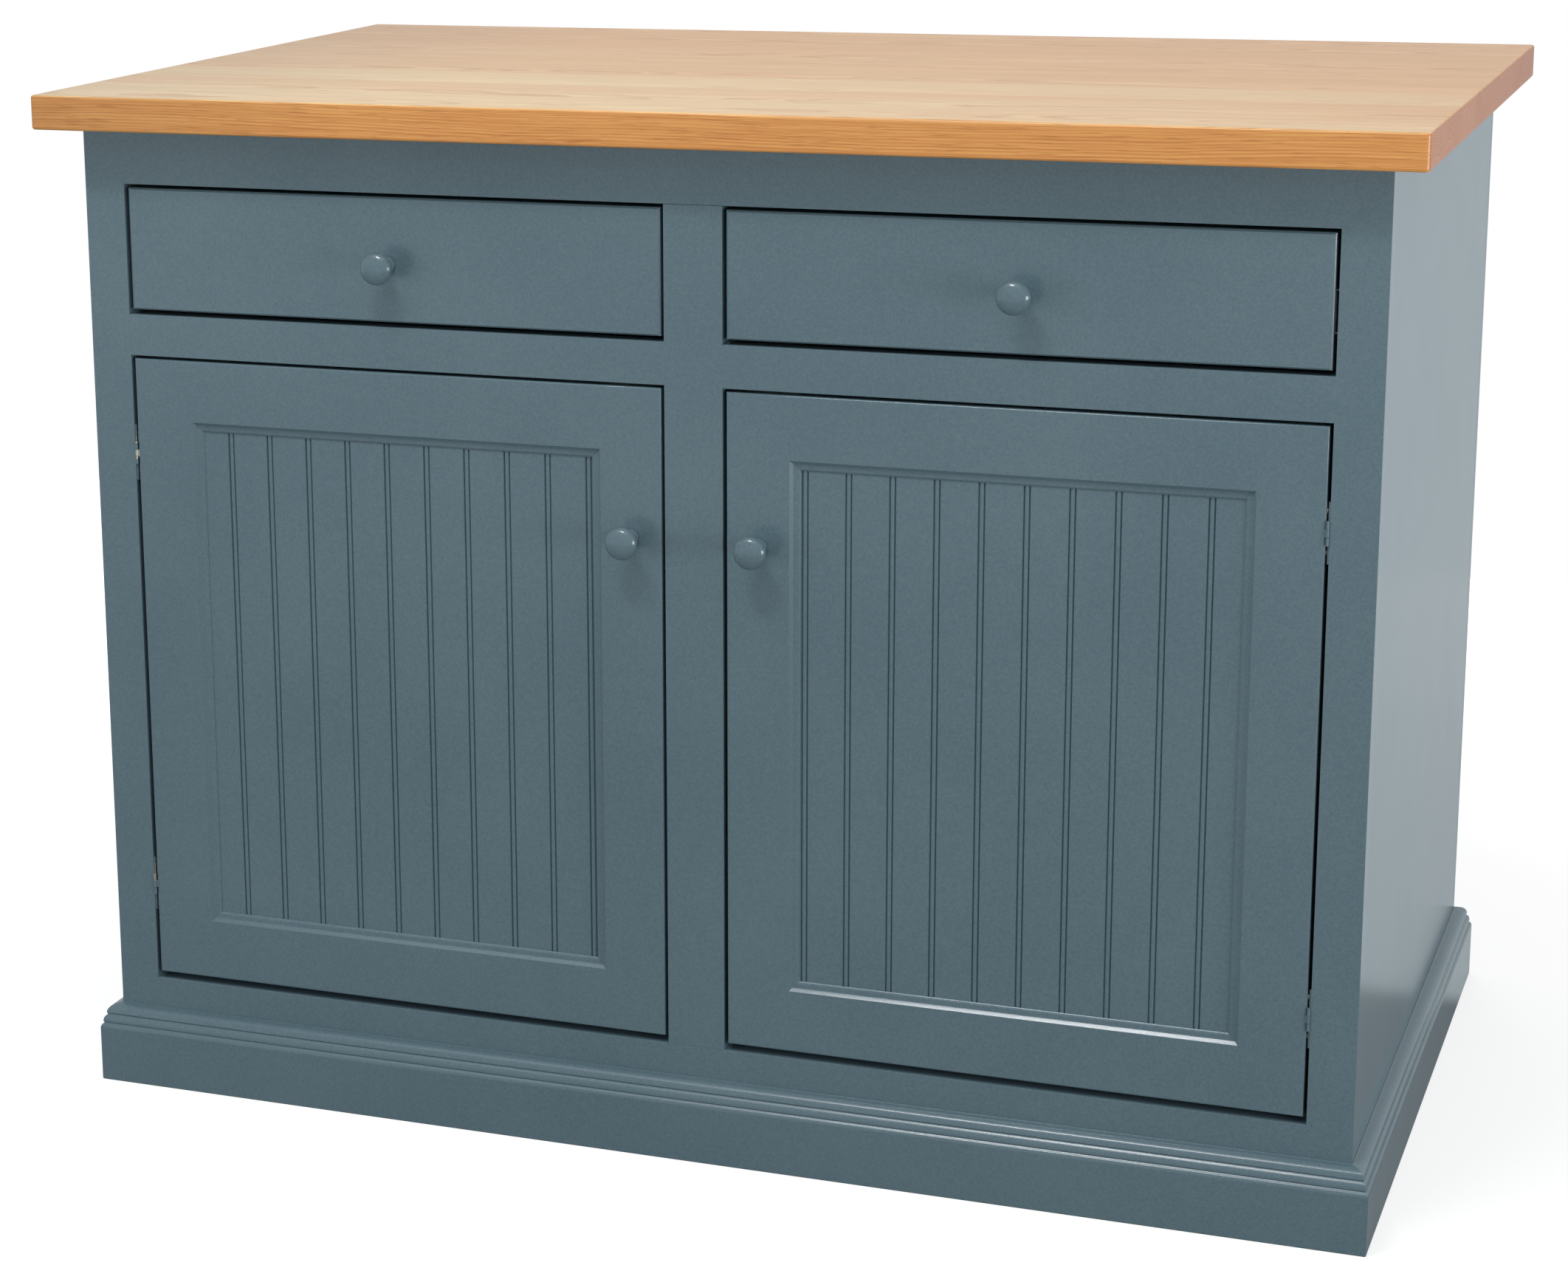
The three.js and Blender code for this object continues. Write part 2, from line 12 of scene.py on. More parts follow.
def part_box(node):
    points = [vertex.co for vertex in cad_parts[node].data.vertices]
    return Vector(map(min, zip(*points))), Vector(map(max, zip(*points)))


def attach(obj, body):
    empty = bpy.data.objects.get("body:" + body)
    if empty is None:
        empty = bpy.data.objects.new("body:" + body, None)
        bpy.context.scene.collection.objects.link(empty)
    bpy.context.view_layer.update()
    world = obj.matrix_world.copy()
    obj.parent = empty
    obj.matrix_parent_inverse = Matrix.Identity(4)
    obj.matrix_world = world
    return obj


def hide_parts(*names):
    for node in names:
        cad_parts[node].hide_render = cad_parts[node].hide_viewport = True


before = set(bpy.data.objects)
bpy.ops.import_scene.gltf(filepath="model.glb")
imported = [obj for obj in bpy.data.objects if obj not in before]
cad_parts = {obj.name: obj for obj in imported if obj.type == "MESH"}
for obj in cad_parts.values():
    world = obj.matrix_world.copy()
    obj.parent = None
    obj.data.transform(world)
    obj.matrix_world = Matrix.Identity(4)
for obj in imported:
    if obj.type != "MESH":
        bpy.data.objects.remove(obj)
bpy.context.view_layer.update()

MM = 0.001
NOWHERE = 9.0  # metres, further out than any piece
SIDES = {"left": -1, "right": 1}
MIX_FIRST, MIX_SECOND, MIX_RESULT = 6, 7, 2  # the sockets for colours on a Mix node

# ---------------------------------------------------------------- camera

PHOTO_WIDTH = 2124
PHOTO_HEIGHT = 1736
SENSOR_WIDTH = 36.0

# The photograph is a crop, so its centre of perspective isn't in its middle.
CENTRE_OF_PERSPECTIVE = (730, 760)
FOCAL_LENGTH_IN_PIXELS = 4670.8
CAMERA_PLACE = (0.9138, -2.9924, 1.2166)
CAMERA_YAW = 0.3770
CAMERA_DOWN = 0.2373
CAMERA_ROLL = -0.0157


def add_camera():
    data = bpy.data.cameras.new("camera")
    data.sensor_width = SENSOR_WIDTH
    data.lens = FOCAL_LENGTH_IN_PIXELS / PHOTO_WIDTH * SENSOR_WIDTH
    data.shift_x = (PHOTO_WIDTH / 2 - CENTRE_OF_PERSPECTIVE[0]) / PHOTO_WIDTH
    data.shift_y = (CENTRE_OF_PERSPECTIVE[1] - PHOTO_HEIGHT / 2) / PHOTO_WIDTH
    camera = bpy.data.objects.new("camera", data)
    bpy.context.scene.collection.objects.link(camera)
    turn = (
        Matrix.Rotation(CAMERA_YAW, 4, "Z")
        @ Matrix.Rotation(math.pi / 2 - CAMERA_DOWN, 4, "X")
        @ Matrix.Rotation(CAMERA_ROLL, 4, "Z")
    )
    camera.matrix_world = Matrix.Translation(CAMERA_PLACE) @ turn
    bpy.context.scene.camera = camera


# ---------------------------------------------------------------- floor and light

FLOOR_SIZE = (5.0, 4.4)
FLOOR_MIDDLE = (0, -0.2, 0)
FLOOR_GREY = (0.42, 0.42, 0.42, 1)
FLOOR_FADE = (0.9, 1.9)  # how far from the middle the last of the shadow goes
FLOOR_LIFT = 0.7  # added for the camera, so that the floor goes white
GLOSS_LIFT = 0.42  # added for reflections, behind a soft line across the floor
GLOSS_LINE = (0.25, 0.29)
AMBIENT = (0.55, 0.55, 0.55, 1)
MIRRORED_ROOM = (0.7, 0.76, 0.79, 1)
MIRRORED_FLOOR = (0.84, 0.96, 1.0, 1)
WHITE = (1, 1, 1, 1)


def add_floor():
    deselect()
    bpy.ops.mesh.primitive_plane_add(size=1, location=FLOOR_MIDDLE)
    floor = bpy.context.object
    floor.scale = (*FLOOR_SIZE, 1)
    bpy.ops.object.transform_apply(location=True, rotation=True, scale=True)
    floor.name = "floor"
    floor.data.materials.append(floor_finish())


def floor_finish():
    """Grey where the object's shadow lies, white to the camera further out, pale in reflections."""
    finish = Finish("floor_pale", roughness=0.9)
    finish.colour(FLOOR_GREY)
    finish.shader.inputs["Specular IOR Level"].default_value = 0
    paths = finish.node("ShaderNodeLightPath").outputs
    place = finish.place()
    away = finish.node("ShaderNodeVectorMath", {0: place}, operation="LENGTH").outputs["Value"]
    faded = finish.between(away, *FLOOR_FADE, FLOOR_LIFT, 1)
    behind = finish.between(finish.axes(place)[1], *GLOSS_LINE, 0, GLOSS_LIFT)
    seen = finish.math("MULTIPLY", paths["Is Camera Ray"], faded)
    mirrored = finish.math("MULTIPLY", paths["Is Glossy Ray"], behind)
    lift = finish.math("ADD", seen, mirrored)
    tint = finish.mix(paths["Is Glossy Ray"], WHITE, MIRRORED_FLOOR)
    glow = finish.node("ShaderNodeEmission", {"Color": tint, "Strength": lift})
    both = finish.node("ShaderNodeAddShader", {0: finish.shader.outputs[0], 1: glow.outputs[0]})
    finish.link(both.outputs[0], finish.output.inputs["Surface"])
    return finish.made


def add_world():
    """An even room: soft light from all round, a little cooler in reflections, white to the camera."""
    world = bpy.data.worlds.new("studio")
    bpy.context.scene.world = world
    world.use_nodes = True
    nodes = world.node_tree.nodes
    links = world.node_tree.links
    paths = nodes.new("ShaderNodeLightPath")
    room = [nodes.new("ShaderNodeMix") for ray in range(2)]
    for mix, ray, light in zip(room, ("Is Glossy Ray", "Is Camera Ray"), (MIRRORED_ROOM, WHITE)):
        mix.data_type = "RGBA"
        mix.inputs[MIX_SECOND].default_value = light
        links.new(paths.outputs[ray], mix.inputs[0])
    room[0].inputs[MIX_FIRST].default_value = AMBIENT
    links.new(room[0].outputs[MIX_RESULT], room[1].inputs[MIX_FIRST])
    links.new(room[1].outputs[MIX_RESULT], nodes["Background"].inputs["Color"])


LAMPS = (  # name, place, what it is aimed at, size, watts
    ("ceiling", (-0.2, -1.4, 3.0), (0, -0.2, 0.5), (2.8, 1.6), 13),
    ("tubes", (-0.28, -1.6, 2.8), (0.2, -0.33, 0.2), (0.8, 0.2), 20),
    ("right_window", (2.9, -1.3, 0.62), (0.5, -0.33, 0.6), (1.2, 0.75), 34),
    ("left_softbox", (-2.6, -2.8, 0.7), (0, 0, 0.3), (1.6, 1.4), 22),
    ("rear_softbox", (-0.3, 2.8, 0.6), (0, 0.33, 0.45), (1.4, 0.9), 24),
)
NOT_MIRRORED = ("left_softbox", "rear_softbox")  # the knobs and the worktop don't show them


def add_lamps():
    for name, place, target, size, power in LAMPS:
        data = bpy.data.lights.new(name, "AREA")
        data.shape = "RECTANGLE"
        data.size = size[0]
        data.size_y = size[1]
        data.energy = power
        lamp = bpy.data.objects.new(name, data)
        lamp.visible_glossy = name not in NOT_MIRRORED
        bpy.context.scene.collection.objects.link(lamp)
        aim = (Vector(target) - Vector(place)).to_track_quat("-Z", "Y")
        lamp.matrix_world = Matrix.Translation(place) @ aim.to_matrix().to_4x4()


# ---------------------------------------------------------------- making finishes

MOST = (0.3, 0.7)  # where most of a noise's values lie


def from_screen(red, green, blue):
    """A colour as a screen shows it, 0 to 255, as the linear values that a shader takes."""
    shares = [value / 255 for value in (red, green, blue)]
    linear = [s / 12.92 if s <= 0.04045 else ((s + 0.055) / 1.055) ** 2.4 for s in shares]
    return (*linear, 1)


class Finish:
    """A material whose nodes are added and wired one call at a time."""

    def __init__(self, name, roughness=0.5, metallic=0.0):
        self.made = bpy.data.materials.new(name)
        self.made.use_nodes = True
        self.nodes = self.made.node_tree.nodes
        self.shader = self.nodes["Principled BSDF"]
        self.output = self.nodes["Material Output"]
        self.shader.inputs["Roughness"].default_value = roughness
        self.shader.inputs["Metallic"].default_value = metallic

    def link(self, source, target):
        self.made.node_tree.links.new(source, target)

    def node(self, kind, inputs=None, **settings):
        node = self.nodes.new(kind)
        for key, value in settings.items():
            setattr(node, key, value)
        for key, value in (inputs or {}).items():
            self.put(value, node.inputs[key])
        return node

    def put(self, value, socket):
        if isinstance(value, bpy.types.NodeSocket):
            self.link(value, socket)
        else:
            socket.default_value = value

    def place(self):
        """The point's place on the piece, in metres."""
        return self.node("ShaderNodeTexCoord").outputs["Object"]

    def axes(self, vector):
        return self.node("ShaderNodeSeparateXYZ", {0: vector}).outputs

    def stretched(self, vector, per_metre):
        """The place times a number of cells to the metre along each axis."""
        scale = self.node("ShaderNodeVectorMath", {0: vector, 1: per_metre}, operation="MULTIPLY")
        return scale.outputs[0]

    def noise(self, vector, scale=1.0, detail=2.0, roughness=0.5):
        inputs = {"Vector": vector, "Scale": scale, "Detail": detail, "Roughness": roughness}
        return self.node("ShaderNodeTexNoise", inputs).outputs[0]

    def math(self, operation, first, second=0.0):
        return self.node("ShaderNodeMath", {0: first, 1: second}, operation=operation).outputs[0]

    def weighed(self, first, first_share, second, second_share):
        """Two values added, each times its share."""
        first_part = self.math("MULTIPLY", first, first_share)
        second_part = self.math("MULTIPLY", second, second_share)
        return self.math("ADD", first_part, second_part)

    def between(self, value, low, high, to_low=0.0, to_high=1.0):
        """The value's place from low to high, drawn out over another range and held at its ends."""
        inputs = {
            "Value": value,
            "From Min": low,
            "From Max": high,
            "To Min": to_low,
            "To Max": to_high,
        }
        return self.node("ShaderNodeMapRange", inputs).outputs[0]

    def mix(self, share, first, second, blend="MIX"):
        node = self.node("ShaderNodeMix", data_type="RGBA", blend_type=blend)
        self.put(share, node.inputs[0])
        self.put(first, node.inputs[MIX_FIRST])
        self.put(second, node.inputs[MIX_SECOND])
        return node.outputs[MIX_RESULT]

    def grey(self, value):
        return self.node("ShaderNodeCombineXYZ", {0: value, 1: value, 2: value}).outputs[0]

    def colour(self, value):
        self.put(value, self.shader.inputs["Base Color"])

    def rough(self, value):
        self.put(value, self.shader.inputs["Roughness"])

    def bump(self, height, distance, strength=1.0):
        inputs = {"Height": height, "Distance": distance, "Strength": strength}
        bump = self.node("ShaderNodeBump", inputs)
        self.link(bump.outputs[0], self.shader.inputs["Normal"])


# ---------------------------------------------------------------- paint

PAINT_LIGHT = from_screen(92, 113, 122)
PAINT_DARK = from_screen(80, 102, 112)
CLOUDS = 7  # this and the next three are cells to the metre
SHEEN_CLOUDS = 16
PEEL = 520
STIPPLE = 560
PEEL_HEIGHT = 0.02 * MM
DRIFT_SHARE = 0.3  # of the colour; the stipple has the rest
PAINT_SHEEN = (0.2, 0.22)  # roughness, from and to
KNOB_SHEEN = (0.14, 0.17)
BOARD_SHEEN = (0.22, 0.23)


def paint_colour(finish, place):
    """Faint cloudy drifts where the coats lie thicker or thinner, and a fine sprayed stipple."""
    drift = finish.noise(place, scale=CLOUDS, detail=3)
    stipple = finish.noise(place, scale=STIPPLE, detail=2, roughness=0.6)
    both = finish.weighed(drift, DRIFT_SHARE, stipple, 1 - DRIFT_SHARE)
    return finish.mix(finish.between(both, 0.36, 0.64), PAINT_DARK, PAINT_LIGHT)


def paint_height(finish, place):
    """The fine orange peel of a sprayed coat."""
    return finish.noise(place, scale=PEEL, detail=2)


def paint_sheen(finish, place, sheen):
    """Roughness that drifts a little from place to place."""
    return finish.between(finish.noise(place, scale=SHEEN_CLOUDS, detail=2), *MOST, *sheen)


def paint(name, sheen):
    finish = Finish(name)
    place = finish.place()
    finish.colour(paint_colour(finish, place))
    finish.rough(paint_sheen(finish, place, sheen))
    finish.bump(paint_height(finish, place), PEEL_HEIGHT)
    return finish.made


# ---------------------------------------------------------------- oak

# Cells are to the metre along, across and up the board. For the wander and the ripple the last
# number sets the staves apart.

WORKTOP_STAVES = 8
RING = 1.8 * MM
YEARS = 170  # cells to the metre in the noise that makes some years wider
YEAR_SWAY = 5 * MM
WANDER = 14 * MM
WANDER_CELLS = (1.6, 7, 5)
RIPPLE = 1.6 * MM
RIPPLE_CELLS = (24, 60, 60)
FIBRE_CELLS = (12, 560, 560)
PORE_CELLS = (42, 1000, 1000)
CLOUD_CELLS = (2.2, 12, 12)
LATE_WOOD = (0.3, 0.78)  # the part of a year over which its line darkens
YEAR_END = (0.84, 1)  # and the part over which it ends
YEAR_STRENGTH = (0.3, 0.7)  # how plain the years are, from the plainest stave to the strongest
STREAKS = 0.42  # and how plain the streaks of fibre are
FIGURE_DARKNESS = (0.85, 0.6)  # the share of the dark colour on the edges and on the top
PORE_DARKNESS = (0.35, 0.12)
VARNISH = (0.27, 0.33)  # roughness over the pale wood and over the dark
END_ROUGHER = 0.12
HEART_ASIDE = 35 * MM  # how far the heart of a log may lie to either side of its stave
HEART_BELOW = (30 * MM, 110 * MM)
FACE_DEPTH = (1.4 * MM, 0.2 * MM)  # where a face's own colour starts under it, and is full
PORE_DEPTH = 0.03 * MM
FRONT_LIGHT = from_screen(216, 157, 90)
FRONT_DARK = from_screen(176, 104, 48)
# The top's colours are paler than the edges': painted light from above and painted sheen over the oak's
# own tone.
TOP_NEAR = from_screen(246, 211, 152)
TOP_FAR = from_screen(241, 182, 110)
TOP_DARK = from_screen(176, 112, 60)
END_LIGHT = from_screen(196, 134, 98)
END_DARK = from_screen(150, 88, 54)
PORE = from_screen(146, 84, 38)
FAR_ACROSS = (-0.34, 0.22)  # the top turns from the near colour to the far one over this in Y
FAR_ALONG = (-0.2, 0.6)  # and a little over this in X
# Painted shade: the worktop's colour is multiplied down toward its left end.
LEFT_DARKER = 0.3  # how far in from the left end the top is darker
LEFT_SHADE = 0.82
PIN_KNOT = (0.285, 0.262)
PIN_KNOT_RADIUS = 1.6 * MM


def stave_luck(finish, across, width):
    """Three random numbers for each stave of the board, and the stave's middle."""
    stave = finish.math("FLOOR", finish.math("DIVIDE", across, width))
    chance = finish.node("ShaderNodeTexWhiteNoise", {"W": stave}, noise_dimensions="1D")
    middle = finish.math("MULTIPLY", finish.math("ADD", stave, 0.5), width)
    return finish.axes(chance.outputs["Color"]), middle


def oak_rings(finish, axes, luck, middle, low):
    """Growth rings round the heart of the log that each stave was sawn from, 0 to 1 by the year."""
    along, across, up = axes[0], axes[1], axes[2]
    heart_across = finish.math("ADD", middle, finish.between(luck[0], 0, 1, -HEART_ASIDE, HEART_ASIDE))
    heart_up = finish.between(luck[1], 0, 1, low - HEART_BELOW[0], low - HEART_BELOW[1])
    from_across = finish.math("POWER", finish.math("SUBTRACT", across, heart_across), 2)
    from_up = finish.math("POWER", finish.math("SUBTRACT", up, heart_up), 2)
    distance = finish.math("SQRT", finish.math("ADD", from_across, from_up))
    shifted = finish.node("ShaderNodeCombineXYZ", {0: along, 1: across, 2: luck[2]}).outputs[0]
    wander = finish.noise(finish.stretched(shifted, WANDER_CELLS), detail=2)
    ripple = finish.noise(finish.stretched(shifted, RIPPLE_CELLS), detail=1)
    bent = finish.math("ADD", distance, finish.between(wander, 0, 1, -WANDER, WANDER))
    bent = finish.math("ADD", bent, finish.math("MULTIPLY", ripple, RIPPLE))
    years = finish.node("ShaderNodeTexNoise", {"W": bent, "Scale": YEARS}, noise_dimensions="1D")
    uneven = finish.math("ADD", bent, finish.math("MULTIPLY", years.outputs[0], YEAR_SWAY))
    return finish.math("FRACT", finish.math("DIVIDE", uneven, RING))


def oak_figure(finish, place, phase, strength):
    """How dark the grain is: year lines, broken streaks of fibre and short open pores."""
    darker = finish.between(phase, *LATE_WOOD)
    late = finish.math("MULTIPLY", darker, finish.between(phase, *YEAR_END, 1, 0))
    fibre = finish.noise(finish.stretched(place, FIBRE_CELLS), detail=3, roughness=0.6)
    streak = finish.between(fibre, 0.36, 0.68)
    pores = finish.noise(finish.stretched(place, PORE_CELLS), detail=1)
    open_pores = finish.between(pores, 0.6, 0.7)
    return finish.weighed(late, strength, streak, STREAKS), open_pores


def on_face(finish, value, face):
    """0 inside the board and 1 at a face of it."""
    return finish.between(value, face - FACE_DEPTH[0], face - FACE_DEPTH[1])


def oak_warmth(finish, place, axes, chance):
    """How far the top's colour has turned from the near one: by place, by drifts and by stave."""
    far = finish.between(axes[1], *FAR_ACROSS)
    right = finish.between(axes[0], *FAR_ALONG, 0, 0.4)
    cloud = finish.noise(finish.stretched(place, CLOUD_CELLS), detail=3)
    drift = finish.between(cloud, *MOST, -0.25, 0.25)
    warm = finish.math("ADD", finish.math("ADD", far, right), drift)
    return finish.between(finish.math("ADD", warm, finish.between(chance, 0, 1, -0.2, 0.2)), 0, 1)


def oak():
    """Varnished oak in full-length staves: warm long edges, dark end grain and a paler top, whose
    colours hold painted light and sheen.
    """
    finish = Finish("varnished_oak")
    finish.shader.inputs["Specular IOR Level"].default_value = 0.4
    low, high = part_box("worktop")
    place = finish.place()
    axes = finish.axes(place)
    luck, middle = stave_luck(finish, axes[1], (high.y - low.y) / WORKTOP_STAVES)
    strength = finish.between(luck[2], 0, 1, *YEAR_STRENGTH)
    figure, pores = oak_figure(finish, place, oak_rings(finish, axes, luck, middle, low.z), strength)
    on_top = on_face(finish, axes[2], high.z)
    on_end = on_face(finish, finish.math("ABSOLUTE", axes[0]), high.x)
    # Painted light and sheen: the top's colours are paler than the long edges'.
    top_light = finish.mix(oak_warmth(finish, place, axes, luck[2]), TOP_NEAR, TOP_FAR)
    light = finish.mix(on_end, finish.mix(on_top, FRONT_LIGHT, top_light), END_LIGHT)
    dark = finish.mix(on_end, finish.mix(on_top, FRONT_DARK, TOP_DARK), END_DARK)
    lines = finish.math("MULTIPLY", figure, finish.between(on_top, 0, 1, *FIGURE_DARKNESS))
    dots = finish.math("MULTIPLY", pores, finish.between(on_top, 0, 1, *PORE_DARKNESS))
    wood = finish.mix(dots, finish.mix(lines, light, dark), PORE)
    # Painted shade toward the left end, on every face of the worktop there.
    shade = finish.between(axes[0], low.x, low.x + LEFT_DARKER, LEFT_SHADE, 1)
    wood = finish.mix(1.0, wood, finish.grey(shade), blend="MULTIPLY")
    wood = finish.mix(finish.math("MULTIPLY", pin_knot(finish, axes), on_top), wood, END_DARK)
    finish.colour(wood)
    gloss = finish.between(figure, 0, 1, *VARNISH)
    finish.rough(finish.math("ADD", gloss, finish.math("MULTIPLY", on_end, END_ROUGHER)))
    finish.bump(finish.math("SUBTRACT", finish.math("MULTIPLY", figure, 0.3), pores), PORE_DEPTH)
    return finish.made


def pin_knot(finish, axes):
    """One tiny knot near the far edge of the top."""
    aside = finish.math("POWER", finish.math("SUBTRACT", axes[0], PIN_KNOT[0]), 2)
    back = finish.math("POWER", finish.math("SUBTRACT", axes[1], PIN_KNOT[1]), 2)
    distance = finish.math("SQRT", finish.math("ADD", aside, back))
    return finish.between(distance, PIN_KNOT_RADIUS, 0.4 * PIN_KNOT_RADIUS)


# ---------------------------------------------------------------- birch plywood

BIRCH_LIGHT = from_screen(226, 198, 158)
BIRCH_DARK = from_screen(206, 170, 124)
BIRCH_END = from_screen(176, 132, 88)
PLY = 1.5 * MM
GRAIN_ACROSS = 260  # cells to the metre
GRAIN_ALONG = 7
FIGURE_COARSER = 14  # how many times the figure is coarser than the grain
GRAIN_SHARE = 0.4  # of the colour; the figure has the rest
END_GRAIN = 0.75  # how far a ply seen end on has turned to its own colour
GRAIN_HEIGHT = 0.04 * MM
BIRCH_SHEEN = (0.45, 0.58)  # roughness, from and to
AXES = "XYZ"


def birch_plies(finish, place, thickness_axis, face):
    """Light long-grain plies and darker end-grain plies, stacked from one face."""
    depth = finish.math("SUBTRACT", finish.axes(place)[AXES.index(thickness_axis)], face)
    turn = finish.math("FRACT", finish.math("DIVIDE", depth, 2 * PLY))
    return finish.math("GREATER_THAN", turn, 0.5)


def birch_wood(finish, place, thickness_axis, face, along):
    stretch = [GRAIN_ACROSS] * 3
    stretch[AXES.index(along)] = GRAIN_ALONG
    grain = finish.noise(finish.stretched(place, stretch), detail=3)
    figure = finish.noise(finish.stretched(place, [s / FIGURE_COARSER for s in stretch]), detail=2)
    both = finish.weighed(grain, GRAIN_SHARE, figure, 1 - GRAIN_SHARE)
    wood = finish.mix(finish.between(both, 0.38, 0.62), BIRCH_LIGHT, BIRCH_DARK)
    plies = birch_plies(finish, place, thickness_axis, face)
    return finish.mix(finish.math("MULTIPLY", plies, END_GRAIN), wood, BIRCH_END), grain


def plywood(name, thickness_axis, face, along):
    finish = Finish(name)
    wood, grain = birch_wood(finish, finish.place(), thickness_axis, face, along)
    finish.colour(wood)
    finish.rough(finish.between(grain, *MOST, *BIRCH_SHEEN))
    finish.bump(grain, GRAIN_HEIGHT)
    return finish.made


def plywood_of(node, thickness_axis, along):
    """Plywood whose plies are counted from the low face of one board."""
    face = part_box(node)[0][AXES.index(thickness_axis)]
    return plywood(f"birch_plywood_{node}", thickness_axis, face, along)


# The boards that are painted outside and bare inside, and the rows of holes for shelf pins.

PAINT_DEPTH = 1.2 * MM
BARE_ROUGHER = 0.18
# Painted shade for the insides of the shelf-pin holes.
HOLE_PAINTED_SHADE = from_screen(52, 38, 27)
PIN_HOLE_PITCH = 32 * MM
PIN_HOLE_RADIUS = 2.6 * MM
PIN_ROWS = (-0.25, 0.255)
PIN_HOLE_LOWEST = 0.2405
PIN_HOLE_HIGHEST = 0.561


def pin_holes(finish, place):
    """Round holes for shelf pins, in two upright rows, drawn as discs of painted shade."""
    _, along, up = finish.axes(place)
    aside = finish.math("MINIMUM", *(
        finish.math("ABSOLUTE", finish.math("SUBTRACT", along, row)) for row in PIN_ROWS))
    cell = finish.math("DIVIDE", finish.math("SUBTRACT", up, PIN_HOLE_LOWEST), PIN_HOLE_PITCH)
    from_cell = finish.math("SUBTRACT", cell, finish.math("ROUND", cell))
    off = finish.math("MULTIPLY", from_cell, PIN_HOLE_PITCH)
    square = finish.math("ADD", finish.math("POWER", aside, 2), finish.math("POWER", off, 2))
    inside = finish.math("LESS_THAN", finish.math("SQRT", square), PIN_HOLE_RADIUS)
    half = PIN_HOLE_PITCH / 2
    above = finish.math("GREATER_THAN", up, PIN_HOLE_LOWEST - half)
    below = finish.math("LESS_THAN", up, PIN_HOLE_HIGHEST + half)
    return finish.math("MULTIPLY", inside, finish.math("MULTIPLY", above, below))


def bare_inside(node, thickness_axis, outer, along, holes):
    """Paint on the outer face, bare plywood behind it."""
    finish = Finish(f"painted_plywood_{node}")
    place = finish.place()
    wood = birch_wood(finish, place, thickness_axis, outer, along)[0]
    if holes:
        # The shelf-pin holes, as painted shade over the wood.
        wood = finish.mix(pin_holes(finish, place), wood, HOLE_PAINTED_SHADE)
    axes = finish.axes(place)
    across = axes[AXES.index(thickness_axis)]
    depth = finish.math("ABSOLUTE", finish.math("SUBTRACT", across, outer))
    outside = finish.math("LESS_THAN", depth, PAINT_DEPTH)
    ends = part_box(node)[1].x - PAINT_DEPTH
    on_end = finish.math("GREATER_THAN", finish.math("ABSOLUTE", axes[0]), ends)
    painted = finish.math("MAXIMUM", outside, on_end) if thickness_axis == "Y" else outside
    finish.colour(finish.mix(painted, wood, paint_colour(finish, place)))
    bare = finish.math("SUBTRACT", 1.0, painted)
    smooth = paint_sheen(finish, place, BOARD_SHEEN)
    finish.rough(finish.math("ADD", smooth, finish.math("MULTIPLY", bare, BARE_ROUGHER)))
    finish.bump(paint_height(finish, place), PEEL_HEIGHT)
    return finish.made


def divider_wood():
    finish = Finish("birch_plywood_divider", roughness=0.5)
    place = finish.place()
    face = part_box("centre_divider")[0].x
    wood, grain = birch_wood(finish, place, "X", face, "Z")
    # The shelf-pin holes, as painted shade over the wood.
    finish.colour(finish.mix(pin_holes(finish, place), wood, HOLE_PAINTED_SHADE))
    finish.bump(grain, GRAIN_HEIGHT)
    return finish.made


# ---------------------------------------------------------------- metals and plastic

BRUSHED = (900, 900, 60)  # cells to the metre of the fine upright scratches on nickel
ROLLED = (600, 30, 600)  # and of the marks along a rolled slide
SPANGLE = 160
PLASTIC_GRAIN = 900
ROLLED_HEIGHT = 0.02 * MM
BRUSHED_HEIGHT = 0.015 * MM
PLASTIC_HEIGHT = 0.03 * MM
ZINC_SHEEN = (0.26, 0.42)  # roughness, from and to
NICKEL_SHEEN = (0.24, 0.38)
HINGE_SHEEN = (0.3, 0.42)
PLASTIC_SHEEN = (0.4, 0.52)


def zinc():
    finish = Finish("zinc_plated_steel", metallic=1.0)
    place = finish.place()
    rolled = finish.noise(finish.stretched(place, ROLLED), detail=2)
    spangle = finish.noise(place, scale=SPANGLE, detail=2)
    light = from_screen(212, 216, 220)
    dark = from_screen(176, 182, 190)
    finish.colour(finish.mix(finish.between(spangle, *MOST), dark, light))
    finish.rough(finish.between(rolled, *MOST, *ZINC_SHEEN))
    finish.bump(rolled, ROLLED_HEIGHT)
    return finish.made


def nickel():
    finish = Finish("nickel_plated_steel", metallic=1.0)
    place = finish.place()
    brushed = finish.noise(finish.stretched(place, BRUSHED), detail=2)
    light = from_screen(214, 210, 200)
    dark = from_screen(186, 180, 169)
    finish.colour(finish.mix(finish.between(brushed, *MOST), dark, light))
    finish.rough(finish.between(brushed, *MOST, *NICKEL_SHEEN))
    finish.bump(brushed, BRUSHED_HEIGHT)
    return finish.made


KNUCKLE_BACK = 329 * MM
HINGE_LIGHT = from_screen(196, 194, 186)
HINGE_DARK = from_screen(160, 158, 150)
RUBBED = {  # where paint has come off the left knuckles, mm up from the hinge's middle
    "upper": ((9, 14.5), (-5.5, 2.5)),
    "lower": ((2.5, 18.5),),
}


def rubbed_patches(finish, axes):
    """1 on the bare patches of the left knuckles and 0 elsewhere."""
    bare = 0.0
    for hinge, patches in RUBBED.items():
        low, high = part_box(f"left_door_{hinge}_hinge_frame_leaf")
        for start, end in patches:
            middle = (low.z + high.z) / 2 + (start + end) / 2 * MM
            away = finish.math("ABSOLUTE", finish.math("SUBTRACT", axes[2], middle))
            near = finish.math("LESS_THAN", away, (end - start) / 2 * MM)
            bare = finish.math("MAXIMUM", bare, near)
    return finish.math("MULTIPLY", bare, finish.math("LESS_THAN", axes[0], 0.0))


